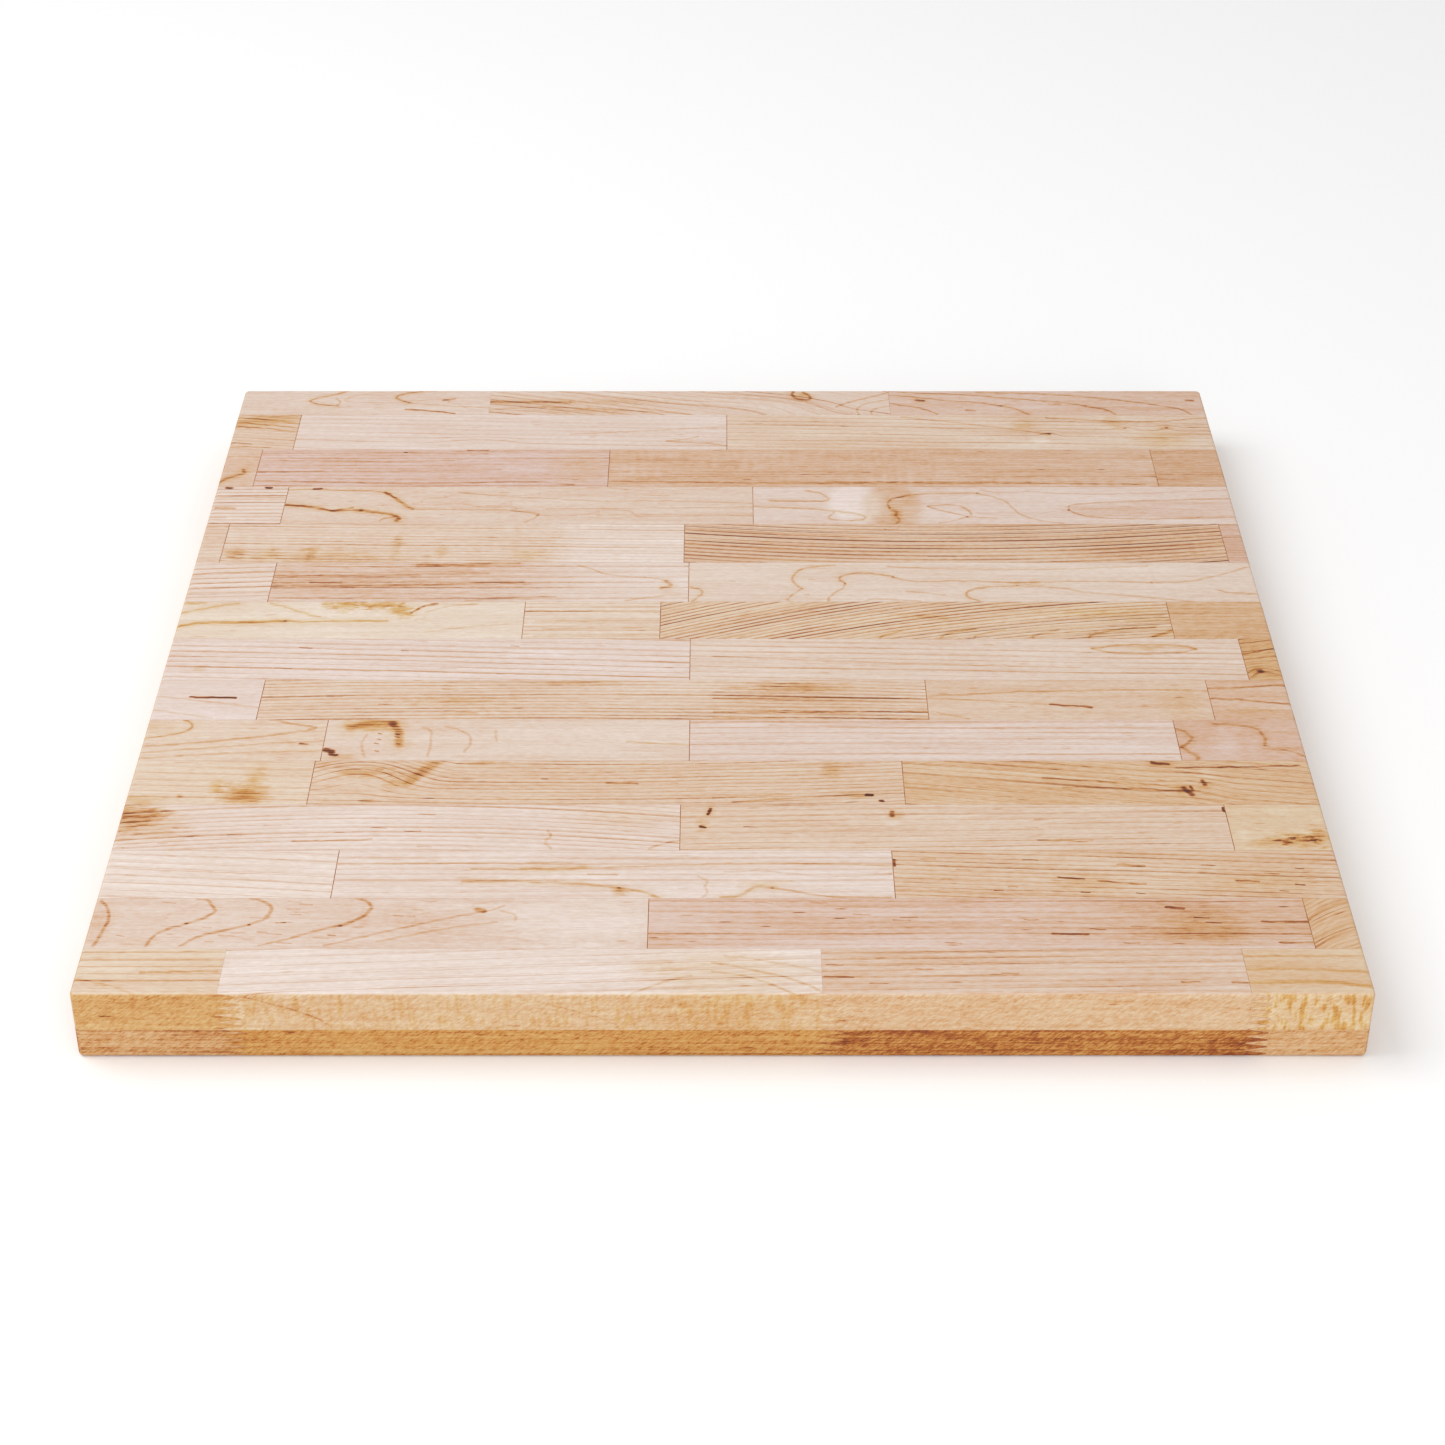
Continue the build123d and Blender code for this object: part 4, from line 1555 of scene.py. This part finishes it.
def maple(name, look, low, high, seed):
    """A material for one board, whose block runs from low to high."""
    origin = (low.x / MM, (low.y + high.y) / 2 / MM, THICKNESS / MM)
    half_width = (high.y - low.y) / 2 / MM
    left_end = low.x / MM - cad_low.x / MM

    def at(spot):
        return (spot[0] - left_end, half_width - spot[1], 0.0)

    material = bpy.data.materials.new(name)
    material.use_nodes = True
    material.node_tree.nodes.clear()
    w = Wiring(material.node_tree)
    scatter = (seed * 37.3 % 971, seed * 71.7 % 613, seed * 53.9 % 787)
    steps = w.place(face_steps)
    spaces = [
        w.place(
            board_space, Origin=origin, Lean=(0.0, *look["lean"]), Curve=(0.0, look["curve"], 0.0),
            Seed=scatter, Step=step,
        )
        for step in ((0.0, 0.0, 0.0), steps["First"], steps["Second"])
    ]
    space = spaces[0]
    swells = [entry for entry in look["marks"] if entry["kind"] == "swell"]
    years, years_first, years_second = [years_at(w, look, point, swells, at) for point in spaces]
    rings = w.place(
        growth_rings, Years=years, Years_First=years_first, Years_Second=years_second,
        Scattered=space["Scattered"], Line_Width=look["width"],
    )
    grain = w.place(fibres_and_flecks, Scattered=space["Scattered"])
    surface = w.place(finish, Place=space["Place"], Fibres=grain["Fibres"], Line=rings["Line"])
    line = w.math("MULTIPLY", rings["Line"], surface["Ring Strength"])
    parts = [
        (line, look["line"], look["line_straw"]),
        (rings["Shade"], look["line"] * look["shade"], 0.0),
        (grain["Fibres"], look["fibre"], 0.0),
        (grain["Flecks"], look["fleck"], 0.0),
        (grain["Cloud"], look["cloud"], 0.0),
        (surface["Scratches"], SCRATCH_TONE, 0.0),
        # Sides painted darker and more amber than the top: the difference is painted sheen, the top kept
        # paler.
        (surface["Edge"], look["edge"], look["edge_straw"]),
        (surface["End"], END_TONE, END_STRAW),
    ]
    if look["curl"] or look["edge_curl"]:
        curl = w.place(curly_figure, Scattered=space["Scattered"])
        on_edge = w.math("MULTIPLY", curl["Fine Curl"], surface["Edge"])
        parts.append((curl["Curl"], look["curl"], 0.0))
        parts.append((on_edge, look["edge_curl"], look["edge_curl"] * CURL_STRAW))
    parts += mark_parts(w, look, space, surface, at)
    tone, straw = look["tone"], look["straw"]
    for mask, darkens, yellows in parts:
        tone = w.math("MULTIPLY_ADD", mask, darkens, tone)
        if yellows:
            straw = w.math("MULTIPLY_ADD", mask, yellows, straw)
    colour = w.place(maple_colour, Tone=tone, Rose=look["rose"], Straw=straw)["Colour"]
    bump = w.add("ShaderNodeBump", Strength=0.35, Distance=0.00012, Height=surface["Height"])
    shader = w.add("ShaderNodeBsdfPrincipled", Base_Color=colour, Roughness=surface["Roughness"])
    w.feed(shader.inputs["Normal"], bump.outputs[0])
    shader.inputs["IOR"].default_value = 1.47
    shader.inputs["Specular IOR Level"].default_value = 0.42
    w.add("ShaderNodeOutputMaterial", Surface=shader.outputs[0])
    return material


# %% The glue's own dark line
GLUE_TONES = (0.80, 0.94)


def glue_material():
    """Squeezed-out glue and sanding dust in the hairline of a joint."""
    material = bpy.data.materials.new("glue_line")
    material.use_nodes = True
    material.node_tree.nodes.clear()
    w = Wiring(material.node_tree)
    space = w.place(board_space, Seed=(11.0, 23.0, 5.0))
    grime = w.noise(space["Scattered"], (9.0, 9.0, 9.0), detail=2.0)
    tone = w.blend(grime, 0.3, 0.7, *GLUE_TONES)
    colour = w.place(maple_colour, Tone=tone, Rose=-0.5, Straw=0.2)["Colour"]
    shader = w.add("ShaderNodeBsdfPrincipled", Base_Color=colour, Roughness=0.5)
    w.add("ShaderNodeOutputMaterial", Surface=shader.outputs[0])
    return material


glue = glue_material()
for number, (board, node, ply) in enumerate(boards.values()):
    key = node.replace("strip_", "").replace("block_", "")[:4]
    look = (UPPER_BOARDS if ply == "upper" else LOWER_BOARDS)[key]
    board.data.materials[0] = maple(board.name, look, *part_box(node), seed=number + 1)
    board.data.materials[1] = glue
    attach(board, "root")
    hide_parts(node)
print(len(bpy.data.materials), "materials")

# %% [markdown]
# ## The studio
#
# The slab lies on a plain white floor under a white sky of light, with one large soft lamp high on
# the left that gives the worktop its sheen and a weaker one in front for the edge. The camera looks
# down at the middle of the front edge from straight ahead, through a lens a little longer than
# normal, so that the sides of the square converge gently.

# %% Floor
FLOOR_SIZE = 12.0
bpy.ops.object.select_all(action="DESELECT")
bpy.ops.mesh.primitive_plane_add(size=FLOOR_SIZE, location=(0, 0, 0))
floor = bpy.context.object
floor.name = "studio_floor"
paper = bpy.data.materials.new("white_paper")
paper.use_nodes = True
paper.node_tree.nodes["Principled BSDF"].inputs["Base Color"].default_value = (0.95, 0.95, 0.95, 1)
paper.node_tree.nodes["Principled BSDF"].inputs["Roughness"].default_value = 0.9
floor.data.materials.append(paper)


# %% Lights
def soft_light(name, place, target, size, watts):
    """A large square lamp at place, aimed at target."""
    lamp = bpy.data.lights.new(name, "AREA")
    lamp.shape = "SQUARE"
    lamp.size = size
    lamp.energy = watts
    ob = bpy.data.objects.new(name, lamp)
    bpy.context.scene.collection.objects.link(ob)
    ob.location = place
    ob.rotation_euler = (Vector(target) - Vector(place)).to_track_quat("-Z", "Y").to_euler()


soft_light("window_left", place=(-1.6, 0.1, 2.2), target=(0, 0, 0), size=1.8, watts=31)
soft_light("front_fill", place=(0.4, -2.6, 1.2), target=(0, 0, 0), size=1.6, watts=24)
sky = bpy.data.worlds.new("white_room")
sky.use_nodes = True
sky.node_tree.nodes["Background"].inputs["Color"].default_value = (1, 1, 1, 1)
sky.node_tree.nodes["Background"].inputs["Strength"].default_value = 0.70
bpy.context.scene.world = sky
bpy.context.scene.view_settings.view_transform = "Standard"

# %% Camera
CAMERA_TILT = 33.79
lens = bpy.data.cameras.new("camera")
lens.lens = 72.9
lens.sensor_width = 36
camera = bpy.data.objects.new("camera", lens)
bpy.context.scene.collection.objects.link(camera)
camera.location = (0.0, -1.3672, 0.9014)
camera.rotation_euler = Euler((radians(90 - CAMERA_TILT), 0, 0))
bpy.context.scene.camera = camera
print("camera looks down", CAMERA_TILT, "degrees")
